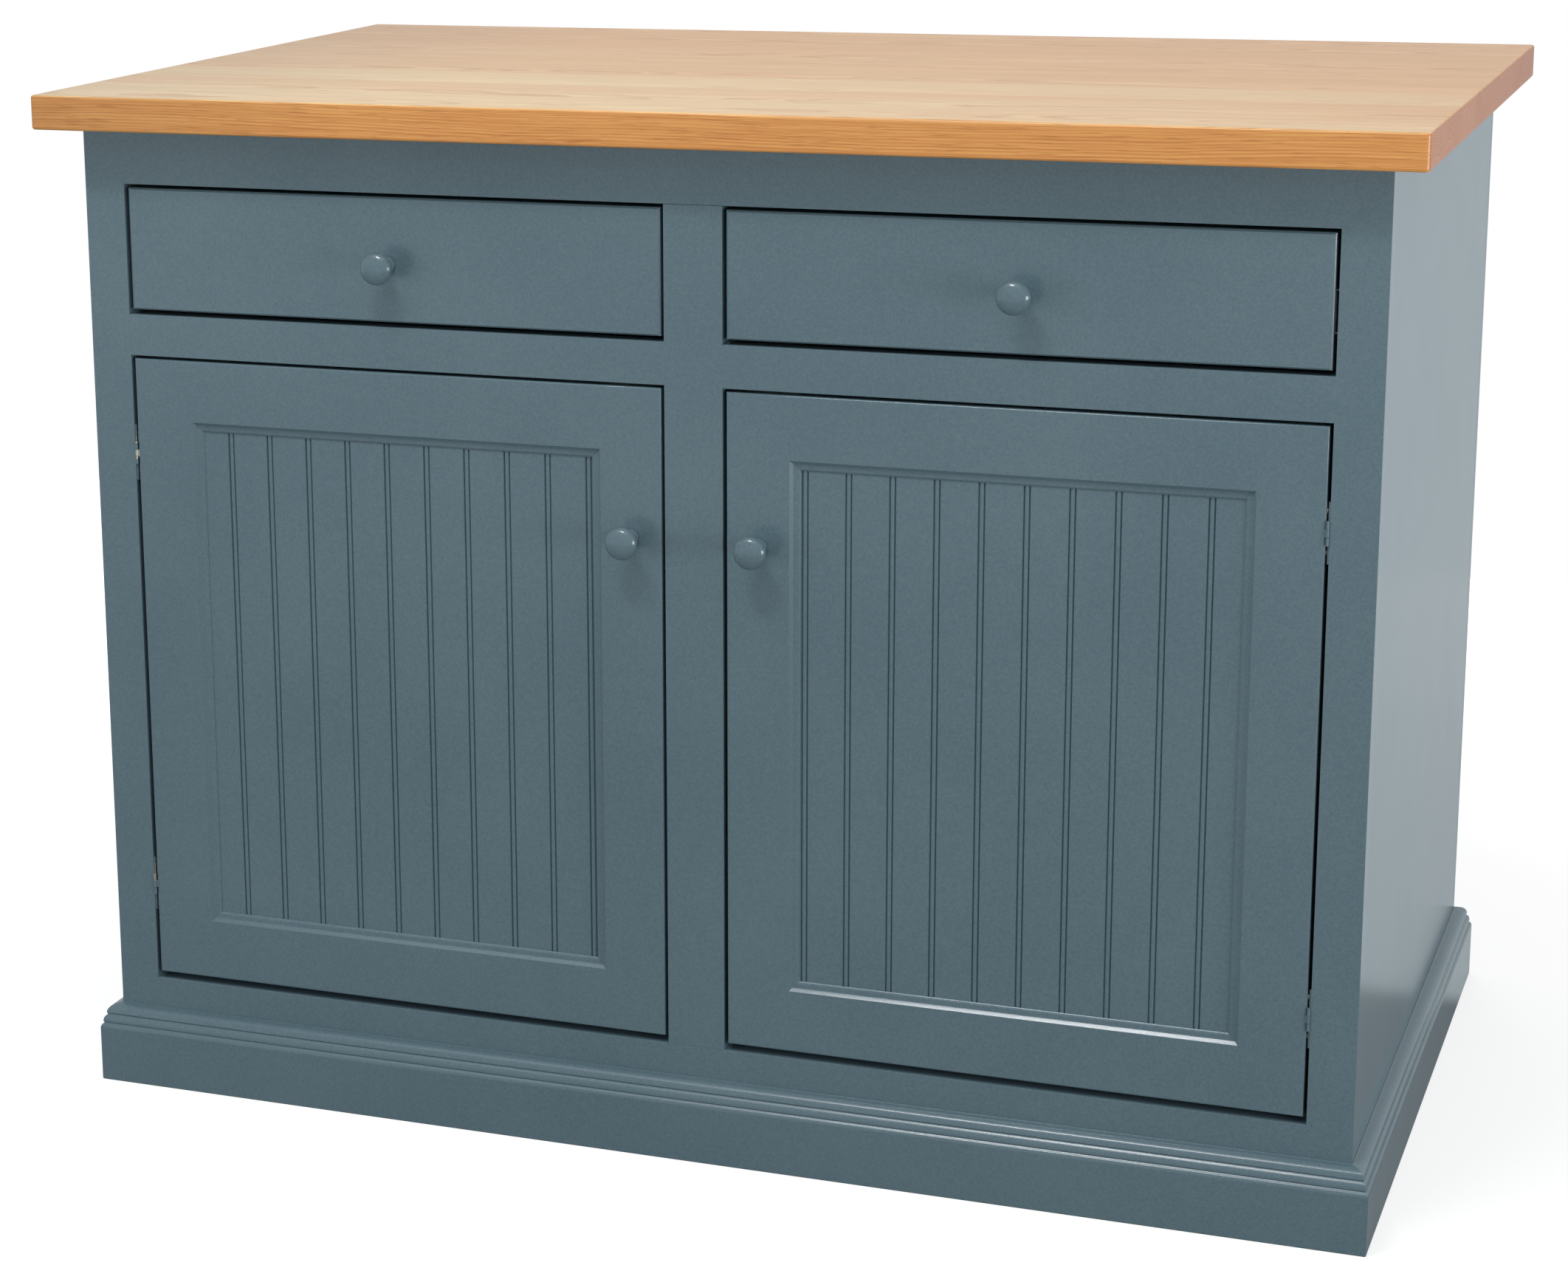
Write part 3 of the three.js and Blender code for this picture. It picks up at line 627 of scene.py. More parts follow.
def hinge_steel():
    """Dull nickel plates, with paint over the knuckles, which were sprayed with the frame."""
    finish = Finish("painted_hinge_steel")
    place = finish.place()
    axes = finish.axes(place)
    in_gap = finish.math("GREATER_THAN", axes[1], -KNUCKLE_BACK)
    bare = finish.math("MAXIMUM", in_gap, rubbed_patches(finish, axes))
    brushed = finish.noise(finish.stretched(place, BRUSHED), detail=2)
    steel = finish.mix(finish.between(brushed, *MOST), HINGE_DARK, HINGE_LIGHT)
    finish.colour(finish.mix(bare, paint_colour(finish, place), steel))
    finish.put(bare, finish.shader.inputs["Metallic"])
    finish.rough(finish.between(brushed, *MOST, *HINGE_SHEEN))
    return finish.made


def white_plastic():
    finish = Finish("white_catch_plastic")
    place = finish.place()
    grain = finish.noise(place, scale=PLASTIC_GRAIN, detail=1)
    light = from_screen(232, 230, 224)
    dark = from_screen(222, 219, 211)
    finish.colour(finish.mix(grain, dark, light))
    finish.rough(finish.between(grain, 0.2, 0.8, *PLASTIC_SHEEN))
    finish.bump(grain, PLASTIC_HEIGHT)
    return finish.made


# ---------------------------------------------------------------- softened edges

SMOOTH_BELOW = math.radians(32)
SHARP = math.radians(40)
FLAT = math.radians(0.5)
MERGE = 0.02 * MM
ON_PLANE = 0.05 * MM
GROUPS = {}


def node_group(name):
    tree = bpy.data.node_groups.new(name, "GeometryNodeTree")
    tree.interface.new_socket("Geometry", in_out="INPUT", socket_type="NodeSocketGeometry")
    tree.interface.new_socket("Geometry", in_out="OUTPUT", socket_type="NodeSocketGeometry")
    GROUPS[name] = tree
    return tree


def group_math(tree, operation, first, second):
    node = tree.nodes.new("ShaderNodeMath")
    node.operation = operation
    for value, socket in ((first, node.inputs[0]), (second, node.inputs[1])):
        if isinstance(value, bpy.types.NodeSocket):
            tree.links.new(value, socket)
        else:
            socket.default_value = value
    return node.outputs[0]


def group_vector(tree, operation, first, second=None):
    node = tree.nodes.new("ShaderNodeVectorMath")
    node.operation = operation
    tree.links.new(first, node.inputs[0])
    if second:
        tree.links.new(second, node.inputs[1])
    return node.outputs[0]


def split(tree, vector):
    node = tree.nodes.new("ShaderNodeSeparateXYZ")
    tree.links.new(vector, node.inputs[0])
    return node.outputs


def make_smoothing_group():
    """Shades smooth, apart from the edges where faces meet at more than a slight angle."""
    tree = node_group("smooth_but_edges")
    start = tree.nodes.new("NodeGroupInput")
    end = tree.nodes.new("NodeGroupOutput")
    faces = tree.nodes.new("GeometryNodeSetShadeSmooth")
    edges = tree.nodes.new("GeometryNodeSetShadeSmooth")
    edges.domain = "EDGE"
    edges.inputs["Shade Smooth"].default_value = False
    angle = tree.nodes.new("GeometryNodeInputMeshEdgeAngle").outputs["Unsigned Angle"]
    tree.links.new(start.outputs[0], faces.inputs["Geometry"])
    tree.links.new(faces.outputs[0], edges.inputs["Geometry"])
    tree.links.new(group_math(tree, "GREATER_THAN", angle, SMOOTH_BELOW), edges.inputs["Selection"])
    tree.links.new(edges.outputs[0], end.inputs[0])


def make_picking_group():
    """Marks for the bevel the sharp edges that lie on given planes across X, Y or Z.

    With Corner at 1, an edge has to lie on a plane across X and on one across Y.
    """
    tree = node_group("pick_edges")
    for name in ("Low", "High"):
        tree.interface.new_socket(name, in_out="INPUT", socket_type="NodeSocketVector")
    tree.interface.new_socket("Corner", in_out="INPUT", socket_type="NodeSocketFloat")
    start = tree.nodes.new("NodeGroupInput")
    end = tree.nodes.new("NodeGroupOutput")
    place = tree.nodes.new("GeometryNodeInputPosition").outputs[0]
    ways = [
        group_vector(tree, "ABSOLUTE", group_vector(tree, "SUBTRACT", place, start.outputs[name]))
        for name in ("Low", "High")
    ]
    x, y, z = split(tree, group_vector(tree, "MINIMUM", *ways))
    least = group_math(tree, "MINIMUM", group_math(tree, "MINIMUM", x, y), z)
    off_corner = group_math(tree, "MULTIPLY", group_math(tree, "MAXIMUM", x, y), start.outputs["Corner"])
    on_plane = group_math(tree, "LESS_THAN", group_math(tree, "MAXIMUM", least, off_corner), ON_PLANE)
    angle = tree.nodes.new("GeometryNodeInputMeshEdgeAngle").outputs["Unsigned Angle"]
    sharp = group_math(tree, "GREATER_THAN", angle, SHARP)
    store = tree.nodes.new("GeometryNodeStoreNamedAttribute")
    store.domain = "EDGE"
    store.inputs["Name"].default_value = "bevel_weight_edge"
    tree.links.new(start.outputs["Geometry"], store.inputs["Geometry"])
    tree.links.new(group_math(tree, "MULTIPLY", on_plane, sharp), store.inputs["Value"])
    tree.links.new(store.outputs[0], end.inputs[0])


# The sticking round a door's panel and the arrises round a drawer front, as distances in mm in
# from the edge and back from the face. In each pair the first is in the CAD section, and the
# second is where the softer painted one has that point.

STICKING = ((0, 0), (0.6, 0.5), (1.04, 2.9), (1.2, 3.6), (7.6, 6.9), (8.3, 7.6), (8.81, 8.6), (9, 9))
STICKING_DEEP = (
    (0, 0), (0.16, 0.3), (0.6, 2.75), (1.2, 3), (2.3, 3.1), (2.49, 3.4), (3, 4.1), (3.7, 4.6), (5, 5))
DRAWER_ENDS = ((0, 0), (0.27, 0.4), (1, 2.7), (2, 3.6))
DRAWER_TOP = ((0, 0), (0.27, 0.3), (1, 1.6), (2, 2.6))
DRAWER_DEEP = ((0, 0), (0.27, 0.15), (1, 1.8), (2, 2.4))


def group_curve(tree, value, pairs):
    """How far a distance moves when it is read off the pairs; one past the last stays put."""
    reach = pairs[-1][0] * MM
    furthest = pairs[-1][1] * MM
    curve = tree.nodes.new("ShaderNodeFloatCurve")
    points = curve.mapping.curves[0].points
    for first, second in pairs[1:-1]:
        points.new(first * MM / reach, second * MM / furthest)
    for point in points:
        point.handle_type = "VECTOR"
    curve.mapping.update()
    tree.links.new(group_math(tree, "DIVIDE", value, reach), curve.inputs["Value"])
    moved = group_math(tree, "SUBTRACT", group_math(tree, "MULTIPLY", curve.outputs[0], furthest), value)
    above = group_math(tree, "GREATER_THAN", value, -ON_PLANE)
    below = group_math(tree, "LESS_THAN", value, reach + ON_PLANE)
    return group_math(tree, "MULTIPLY", moved, group_math(tree, "MULTIPLY", above, below))


def make_moulding_group(name, aside, up, deep):
    """Reshapes a moulding that runs round the inside of a rectangle, Low to High, in X and Z."""
    tree = node_group(name)
    for socket in ("Low", "High"):
        tree.interface.new_socket(socket, in_out="INPUT", socket_type="NodeSocketVector")
    start = tree.nodes.new("NodeGroupInput")
    end = tree.nodes.new("NodeGroupOutput")
    place = tree.nodes.new("GeometryNodeInputPosition").outputs[0]
    from_low = split(tree, group_vector(tree, "SUBTRACT", place, start.outputs["Low"]))
    from_high = split(tree, group_vector(tree, "SUBTRACT", start.outputs["High"], place))
    shift = tree.nodes.new("ShaderNodeCombineXYZ")
    nearest = []
    for axis, inwards in ((0, aside), (2, up)):
        near = group_math(tree, "MINIMUM", from_low[axis], from_high[axis])
        low_side = group_math(tree, "LESS_THAN", from_low[axis], from_high[axis])
        sign = group_math(tree, "SUBTRACT", group_math(tree, "MULTIPLY", low_side, 2.0), 1.0)
        moved = group_math(tree, "MULTIPLY", group_curve(tree, near, inwards), sign)
        tree.links.new(moved, shift.inputs[axis])
        nearest.append(near)
    inside = group_math(tree, "GREATER_THAN", group_math(tree, "MINIMUM", *nearest), -ON_PLANE)
    sunk = group_math(tree, "MULTIPLY", group_curve(tree, from_low[1], deep), inside)
    tree.links.new(sunk, shift.inputs[1])
    move = tree.nodes.new("GeometryNodeSetPosition")
    tree.links.new(start.outputs["Geometry"], move.inputs["Geometry"])
    tree.links.new(shift.outputs[0], move.inputs["Offset"])
    tree.links.new(move.outputs[0], end.inputs[0])


def soften(piece, edge, where, moulding):
    """Merges a CAD node's loose triangles, reshapes its moulding, rounds its edges and shades it."""
    weld = piece.modifiers.new("weld", "WELD")
    weld.merge_threshold = MERGE
    flat = piece.modifiers.new("flat_faces", "DECIMATE")
    flat.decimate_type = "DISSOLVE"
    flat.angle_limit = FLAT
    if moulding:
        add_nodes(piece, *moulding)
    if edge and where:
        add_nodes(piece, "pick_edges", where)
    if edge:
        bevel = piece.modifiers.new("eased_edges", "BEVEL")
        bevel.width = edge
        bevel.segments = 2 if edge < MM else 4
        bevel.limit_method = "WEIGHT" if where else "ANGLE"
        bevel.angle_limit = SHARP
        bevel.use_clamp_overlap = True
    add_nodes(piece, "smooth_but_edges", {})
    level = piece.modifiers.new("level_faces", "WEIGHTED_NORMAL")
    level.keep_sharp = True


def add_nodes(piece, group, values):
    modifier = piece.modifiers.new(group, "NODES")
    modifier.node_group = GROUPS[group]
    for item in GROUPS[group].interface.items_tree:
        if item.name in values:
            modifier[item.identifier] = values[item.name]


# ---------------------------------------------------------------- which node has which finish

# Edges, in mm. Bare pieces are eased on every sharp edge, and painted boards, whose joints are
# painted over, only along the planes that dress_of gives.

BARE = {  # finish and edge
    "floor_panel": ("floor_panel", 0.3),
    "centre_divider": ("divider", 0.4),
    "rear_top_rail": ("rear_top_rail", 0.5),
    "shelf_left": ("shelf", 0.7),
    "shelf_right": ("shelf", 0.7),
}
STEEL_EDGE = 0.15
SIDE_EDGE = 0.4
BACK_EDGE = 0.5
DRAWER_BOX_EDGE = 0.8
RAIL_EDGE = 0.8
CASE_CORNER = 0.6
DOOR_EDGE = 1.2
BASE_EDGE = 0.8
STILE_FLAT = 54.5 * MM  # the width of a door's stiles and rails up to the sticking
TENON = 24 * MM  # how far a rail's tenon goes into the stile


def planes(x=None, y=None, z=None, corner=0.0):
    """What pick_edges looks on: a low and a high plane across each axis, or NOWHERE for none."""
    pairs = [pair or (NOWHERE, NOWHERE) for pair in (x, y, z)]
    low, high = zip(*pairs)
    return {"Low": low, "High": high, "Corner": corner}


def moulding_of(name):
    """The moulding that a node carries, and the rectangle that it runs round."""
    if name.endswith("drawer_front"):
        low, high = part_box(name)
        return "drawer_arris", {"Low": tuple(low), "High": tuple(high)}
    if "_door_" in name and name.endswith(("stile", "rail")):
        door = name.split("_")[0]
        low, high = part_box(f"{door}_door_top_rail")
        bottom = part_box(f"{door}_door_bottom_rail")[0].z
        return "sticking", {
            "Low": (low.x + TENON, low.y, bottom + STILE_FLAT),
            "High": (high.x - TENON, low.y, high.z - STILE_FLAT),
        }
    return None


def dress_cad(finishes):
    make_smoothing_group()
    make_picking_group()
    make_moulding_group("sticking", STICKING, STICKING, STICKING_DEEP)
    make_moulding_group("drawer_arris", DRAWER_ENDS, DRAWER_TOP, DRAWER_DEEP)
    for name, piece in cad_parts.items():
        finish, edge, where = dress_of(name)
        give_finish(piece, finishes[finish])
        soften(piece, edge * MM, where, moulding_of(name))


def dress_of(name):
    """A node's finish, the width of its eased edges and the planes that these lie on."""
    low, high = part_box(name)
    if name in BARE:
        return (*BARE[name], None)
    if name == "worktop":
        return "oak", 0, None
    if name in ("side_left", "side_right"):
        return name, SIDE_EDGE, planes(y=(NOWHERE, high.y))
    if name == "back_panel":
        return name, BACK_EDGE, planes(y=(low.y, high.y))
    if name.endswith("runner"):
        return "zinc", STEEL_EDGE, None
    if name.endswith("leaf"):
        return "hinge", STEEL_EDGE, None
    if name.startswith("base"):
        return "paint", BASE_EDGE, planes(z=(NOWHERE, high.z))
    if "_door_" in name:
        return door_dress(name)
    if name.endswith("drawer_front"):
        return "paint", 0, None
    if "drawer" in name and not name.endswith("knob"):
        return name.split("_", 1)[1], DRAWER_BOX_EDGE, None
    if name.endswith("rail"):
        return "paint", RAIL_EDGE, planes(z=(low.z, high.z))
    if name in ("frame_left_stile", "frame_right_stile"):
        outer = low.x if high.x < 0 else high.x
        return "paint", CASE_CORNER, planes(x=(outer, NOWHERE), y=(low.y, NOWHERE), corner=1.0)
    return "paint", 0, None


def door_dress(name):
    if name.endswith("beadboard_panel"):
        return "paint", 0, None
    door = name.split("_")[0]
    hinge_low, hinge_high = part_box(f"{door}_door_hinge_stile")
    lock_low, lock_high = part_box(f"{door}_door_lock_stile")
    across = (min(hinge_low.x, lock_low.x), max(hinge_high.x, lock_high.x))
    return "paint", DOOR_EDGE, planes(x=across, z=(hinge_low.z, hinge_high.z))


def give_finish(piece, material):
    piece.data.materials.clear()
    piece.data.materials.append(material)


def make_finishes():
    side_face = {name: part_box(f"side_{name}")[0 if side < 0 else 1].x for name, side in SIDES.items()}
    back_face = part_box("back_panel")[1].y
    return {
        "paint": paint("blue_grey_paint", PAINT_SHEEN),
        "knob_paint": paint("blue_grey_knob_paint", KNOB_SHEEN),
        "oak": oak(),
        "side_left": bare_inside("side_left", "X", side_face["left"], "Z", True),
        "side_right": bare_inside("side_right", "X", side_face["right"], "Z", True),
        "back_panel": bare_inside("back_panel", "Y", back_face, "Z", False),
        "floor_panel": plywood_of("floor_panel", "Z", "X"),
        "divider": divider_wood(),
        "rear_top_rail": plywood_of("rear_top_rail", "Y", "X"),
        "shelf": plywood_of("shelf_left", "Z", "X"),
        "drawer_left_side": plywood_of("left_drawer_left_side", "X", "Y"),
        "drawer_right_side": plywood_of("left_drawer_right_side", "X", "Y"),
        "drawer_back": plywood_of("left_drawer_back", "Y", "X"),
        "drawer_bottom": plywood_of("left_drawer_bottom", "Z", "X"),
        "zinc": zinc(),
        "nickel": nickel(),
        "hinge": hinge_steel(),
        "plastic": white_plastic(),
    }


# ---------------------------------------------------------------- modelling by hand

DOUBLES = 0.001 * MM


def deselect():
    bpy.ops.object.select_all(action="DESELECT")


def pick(*pieces):
    """Selects these pieces alone and makes the first one active."""
    deselect()
    for piece in pieces:
        piece.select_set(True)
    bpy.context.view_layer.objects.active = pieces[0]


def joined(pieces):
    pick(*pieces)
    if len(pieces) > 1:
        bpy.ops.object.join()
    return pieces[0]


def declare(piece, name, body):
    """Names a finished piece and hangs it on the body that carries it."""
    piece.name = name
    piece.data.name = name
    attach(piece, body)
    return piece


def clean(angle=SMOOTH_BELOW):
    """Merges doubles, turns every face outwards and smooths the active piece."""
    bpy.ops.object.mode_set(mode="EDIT")
    bpy.ops.mesh.select_all(action="SELECT")
    bpy.ops.mesh.remove_doubles(threshold=DOUBLES)
    bpy.ops.mesh.normals_make_consistent(inside=False)
    bpy.ops.object.mode_set(mode="OBJECT")
    bpy.ops.object.shade_smooth_by_angle(angle=angle)


def copies(model, turns, name, body):
    """One piece made of a copy of the model for each turn, which also holds its place."""
    made = []
    for turn in turns:
        copy = model.copy()
        copy.data = model.data.copy()
        copy.data.transform(turn)
        bpy.context.scene.collection.objects.link(copy)
        made.append(copy)
    return declare(joined(made), name, body)


def put_away(*models):
    for model in models:
        bpy.data.objects.remove(model)


# ---------------------------------------------------------------- knobs

KNOB_OUTLINE = (  # (radius, distance from the face), from the foot to the tip, mm
    (7.3, 0.0),
    (7.7, 0.5),
    (7.6, 1.4),
    (6.9, 3.4),
    (6.2, 6.0),
    (5.9, 8.8),
    (6.4, 11.6),
    (8.1, 14.6),
    (11.0, 17.6),
    (13.3, 20.2),
    (14.4, 22.6),
    (14.2, 24.9),
    (12.8, 27.0),
    (10.2, 28.9),
    (6.8, 30.2),
    (3.4, 30.9),
    (1.2, 31.0),
)
KNOB_STEPS = 40
KNOB_SMOOTH_BELOW = math.radians(60)


def knob_model(material):
    """A turned knob, foot at the origin, standing out along -Y."""
    deselect()
    foot = KNOB_OUTLINE[0][0] * MM
    bpy.ops.mesh.primitive_circle_add(vertices=KNOB_STEPS, radius=foot, rotation=(math.pi / 2, 0, 0))
    bpy.ops.object.transform_apply(location=True, rotation=True, scale=True)
    knob = bpy.context.object
    knob.name = "knob_model"
    bpy.ops.object.mode_set(mode="EDIT")
    bpy.ops.mesh.select_all(action="SELECT")
    for (last_radius, last_out), (radius, out) in zip(KNOB_OUTLINE, KNOB_OUTLINE[1:]):
        onwards = {"value": (0, (last_out - out) * MM, 0)}
        bpy.ops.mesh.extrude_region_move(TRANSFORM_OT_translate=onwards)
        share = radius / last_radius
        bpy.ops.transform.resize(value=(share, share, share), center_override=(0, -out * MM, 0))
    bpy.ops.mesh.merge(type="CENTER")
    bpy.ops.mesh.select_all(action="DESELECT")
    bpy.ops.mesh.select_non_manifold()
    bpy.ops.mesh.edge_face_add()
    bpy.ops.object.mode_set(mode="OBJECT")
    clean(KNOB_SMOOTH_BELOW)
    rounded = knob.modifiers.new("rounded", "SUBSURF")
    rounded.levels = 1
    rounded.render_levels = 1
    bpy.ops.object.modifier_apply(modifier="rounded")
    give_finish(knob, material)
    return knob


KNOBS = ("left_door", "right_door", "left_drawer", "right_drawer")


def knob_place(body):
    low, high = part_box(f"{body}_knob")
    return Vector(((low.x + high.x) / 2, high.y, (low.z + high.z) / 2))


def add_knobs(material):
    model = knob_model(material)
    for body in KNOBS:
        turn = Matrix.Translation(knob_place(body))
        knob = copies(model, [turn], f"{body}_turned_knob", body)
        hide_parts(f"{body}_knob")
    put_away(model)


# ---------------------------------------------------------------- screws

HINGE_SCREW = (2.9 * MM, 0.45 * MM)  # the head's radius and how far it stands out
PAN_SCREW = (3.6 * MM, 1.8 * MM)
HEAD_SIDES = 20
HEAD_ROUNDING = 0.45  # of the head's height
RECESS_DEPTH = 0.6  # of it, and RECESS_DEEPER more
RECESS_DEEPER = 0.1 * MM
RECESS_LENGTH = 1.1  # of the head's radius, and so is the width
RECESS_WIDTH = 0.28
RECESS_OPEN = 0.05 * MM  # how far the bars that cut the recess start above the head


def cross_recess(depth, length, width, above):
    """Two crossed bars, to be cut from the top of a screw head."""
    bars = []
    for size in ((length, width, depth), (width, length, depth)):
        bpy.ops.mesh.primitive_cube_add(size=1, location=(0, 0, above - depth / 2 + RECESS_OPEN))
        bpy.context.object.scale = size
        bars.append(bpy.context.object)
    pick(*bars)
    bpy.ops.object.transform_apply(location=True, rotation=True, scale=True)
    union = bars[0].modifiers.new("cross", "BOOLEAN")
    union.operation = "UNION"
    union.object = bars[1]
    bpy.ops.object.modifier_apply(modifier="cross")
    put_away(bars[1])
    return bars[0]


def screw_model(name, radius, proud, material):
    """A screw head with a cross recess, under side at the origin, standing out along +Z."""
    deselect()
    bpy.ops.mesh.primitive_cylinder_add(
        vertices=HEAD_SIDES, radius=radius, depth=proud, location=(0, 0, proud / 2))
    head = bpy.context.object
    head.name = name
    bpy.ops.object.mode_set(mode="EDIT")
    bpy.ops.mesh.select_all(action="DESELECT")
    bpy.ops.object.mode_set(mode="OBJECT")
    for face in head.data.polygons:
        face.select = face.normal.z > 0.9
    bpy.ops.object.mode_set(mode="EDIT")
    bpy.ops.mesh.bevel(offset=proud * HEAD_ROUNDING, segments=3, affect="EDGES")
    bpy.ops.object.mode_set(mode="OBJECT")
    bpy.ops.object.transform_apply(location=True, rotation=True, scale=True)
    depth = proud * RECESS_DEPTH + RECESS_DEEPER
    cross = cross_recess(depth, radius * RECESS_LENGTH, radius * RECESS_WIDTH, proud)
    recess = head.modifiers.new("recess", "BOOLEAN")
    recess.operation = "DIFFERENCE"
    recess.object = cross
    pick(head)
    bpy.ops.object.modifier_apply(modifier="recess")
    put_away(cross)
    clean()
    give_finish(head, material)
    return head


FACING = {
    "+X": Matrix.Rotation(math.pi / 2, 4, "Y"),
    "-X": Matrix.Rotation(-math.pi / 2, 4, "Y"),
    "+Y": Matrix.Rotation(-math.pi / 2, 4, "X"),
}


def facing(direction, place, twist):
    """A turn that stands a +Z model on a surface that faces the given way, twisted in radians."""
    return Matrix.Translation(place) @ FACING[direction] @ Matrix.Rotation(twist, 4, "Z")


# The recesses of a row of screws stand at different angles. A twist is in radians for each metre
# along the row, and the hinges' has a first angle before it.

HINGE_LEAF = 1.5 * MM
HINGE_SCREW_UP = (-16.5 * MM, 0.0, 16.5 * MM)
HINGE_SCREW_BACK = (11.5 * MM, 7.5 * MM, 11.5 * MM)  # from the leaf's rear edge
HINGE_TWIST = (0.4, 70)


def add_hinge_screws(model):
    for door, side in SIDES.items():
        for place in ("lower", "upper"):
            for leaf, faces in (("frame", -side), ("door", side)):
                add_leaf_screws(model, f"{door}_door_{place}_hinge_{leaf}_leaf", leaf, faces, door)


def add_leaf_screws(model, node, leaf, faces, door):
    low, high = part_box(node)
    middle = (low.z + high.z) / 2
    near = 0 if SIDES[door] < 0 else 1
    if leaf == "frame":
        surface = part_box(f"frame_{door}_stile")[1 - near].x - SIDES[door] * HINGE_LEAF
    else:
        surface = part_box(f"{door}_door_hinge_stile")[near].x
    direction = "+X" if faces > 0 else "-X"
    turns = [
        facing(direction, (surface, high.y - back, middle + up), HINGE_TWIST[0] + up * HINGE_TWIST[1])
        for up, back in zip(HINGE_SCREW_UP, HINGE_SCREW_BACK)
    ]
    body = "cabinet" if leaf == "frame" else f"{door}_door"
    copies(model, turns, f"{node}_screws", body)


KNOB_SCREW_TWIST = 0.7  # radians


def add_knob_screws(model):
    """The machine screws that hold the knobs, seen on the back of each front."""
    for body in KNOBS:
        place = knob_place(body)
        front = "lock_stile" if body.endswith("door") else "front"
        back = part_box(f"{body}_{front}")[1].y
        turn = facing("+Y", (place.x, back, place.z), KNOB_SCREW_TWIST)
        copies(model, [turn], f"{body}_knob_screw", body)


RUNNER_SCREWS_FROM_FRONT = (0.035, 0.26, 0.52)
RUNNER_STEEL = 1.25 * MM
RUNNER_TWIST = 9
TAB_SCREW_ASIDE = 6 * MM
TAB_SCREW_UP = (-9 * MM, 9 * MM)
TAB_TWIST = 60


def add_runner_screws(model):
    for drawer in SIDES:
        for place, out in SIDES.items():
            add_drawer_runner_screws(model, drawer, place, out)
            add_cabinet_runner_screws(model, drawer, place, out)


def add_drawer_runner_screws(model, drawer, place, out):
    """Screws through the drawer's channel into the drawer side."""
    name = f"{drawer}_drawer_{place}_drawer_runner"
    low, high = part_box(name)
    surface = high.x - RUNNER_STEEL if out < 0 else low.x + RUNNER_STEEL
    middle = (low.z + high.z) / 2
    direction = "-X" if out < 0 else "+X"
    turns = [
        facing(direction, (surface, low.y + along, middle), along * RUNNER_TWIST)
        for along in RUNNER_SCREWS_FROM_FRONT
    ]
    copies(model, turns, f"{name}_screws", f"{drawer}_drawer")


def add_cabinet_runner_screws(model, drawer, place, out):
    """Two screws through the front tab into the back of the face frame."""
    name = f"{drawer}_drawer_{place}_cabinet_runner"
    low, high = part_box(name)
    middle = (low.z + high.z) / 2
    tab = low.x + TAB_SCREW_ASIDE if out < 0 else high.x - TAB_SCREW_ASIDE
    turns = [
        facing("+Y", (tab, low.y + RUNNER_STEEL, middle + up), up * TAB_TWIST)
        for up in TAB_SCREW_UP
    ]
    copies(model, turns, f"{name}_screws", "cabinet")


# ---------------------------------------------------------------- balls of the slides

BALL_RADIUS = 2.2 * MM
BALL_PITCH = 9 * MM
BALLS = 16  # in a row
BALL_SEGMENTS = 10
BALL_RINGS = 6
CAGE_LENGTH = BALLS * BALL_PITCH
CAGE_HEIGHT = 24 * MM
CAGE_THICKNESS = 0.7 * MM
CAGE_EDGE = 0.15 * MM
CAGE_FROM_RUNNER = 1.1 * MM
BALL_FROM_MIDDLE = 1.5 * MM
CAGE_MIDDLE = -0.02  # along Y, with the drawer shut


def strip_model(material):
    """The bent strip of a cage, along Y, its middle at the origin."""
    deselect()
    bpy.ops.mesh.primitive_cube_add(size=1)
    strip = bpy.context.object
    strip.name = "strip_model"
    strip.scale = (CAGE_THICKNESS, CAGE_LENGTH, CAGE_HEIGHT)
    bpy.ops.object.transform_apply(location=True, rotation=True, scale=True)
    bpy.ops.object.mode_set(mode="EDIT")
    bpy.ops.mesh.select_all(action="SELECT")
    bpy.ops.mesh.subdivide(number_cuts=2)
    bpy.ops.object.mode_set(mode="OBJECT")
    eased = strip.modifiers.new("eased", "BEVEL")
    eased.width = CAGE_EDGE
    eased.segments = 1
    bpy.ops.object.modifier_apply(modifier="eased")
    clean()
    give_finish(strip, material)
    return strip


def cage_model(aside, row, finishes):
    """A cage with its two rows of balls, which stand off the strip along -X."""
    cage = strip_model(finishes["zinc"])
    balls = []
    for number in range(BALLS):
        along = (number + 0.5) * BALL_PITCH - CAGE_LENGTH / 2
        for up in (-row, row):
            deselect()
            bpy.ops.mesh.primitive_uv_sphere_add(
                segments=BALL_SEGMENTS, ring_count=BALL_RINGS, radius=BALL_RADIUS,
                location=(-aside, along, up))
            bpy.ops.object.shade_smooth()
            give_finish(bpy.context.object, finishes["nickel"])
            balls.append(bpy.context.object)
    return joined([cage, *balls])


def add_ball_cages(finishes):
    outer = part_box("left_drawer_left_cabinet_runner")
    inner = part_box("left_drawer_left_drawer_runner")
    aside = (inner[1].x - inner[0].x) / 2 + CAGE_FROM_RUNNER + BALL_FROM_MIDDLE
    row = (outer[1].z - outer[0].z) / 4 + (inner[1].z - inner[0].z) / 4 - RUNNER_STEEL / 2
    model = cage_model(aside, row, finishes)
    for drawer in SIDES:
        for place, out in SIDES.items():
            low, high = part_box(f"{drawer}_drawer_{place}_drawer_runner")
            web = low.x - CAGE_FROM_RUNNER if out < 0 else high.x + CAGE_FROM_RUNNER
            about = Matrix.Rotation(math.pi if out < 0 else 0, 4, "Z")
            turn = Matrix.Translation((web, CAGE_MIDDLE, (low.z + high.z) / 2)) @ about
            copies(model, [turn], f"{drawer}_drawer_{place}_ball_cage", "cabinet")
    put_away(model)


# ---------------------------------------------------------------- shelf pins

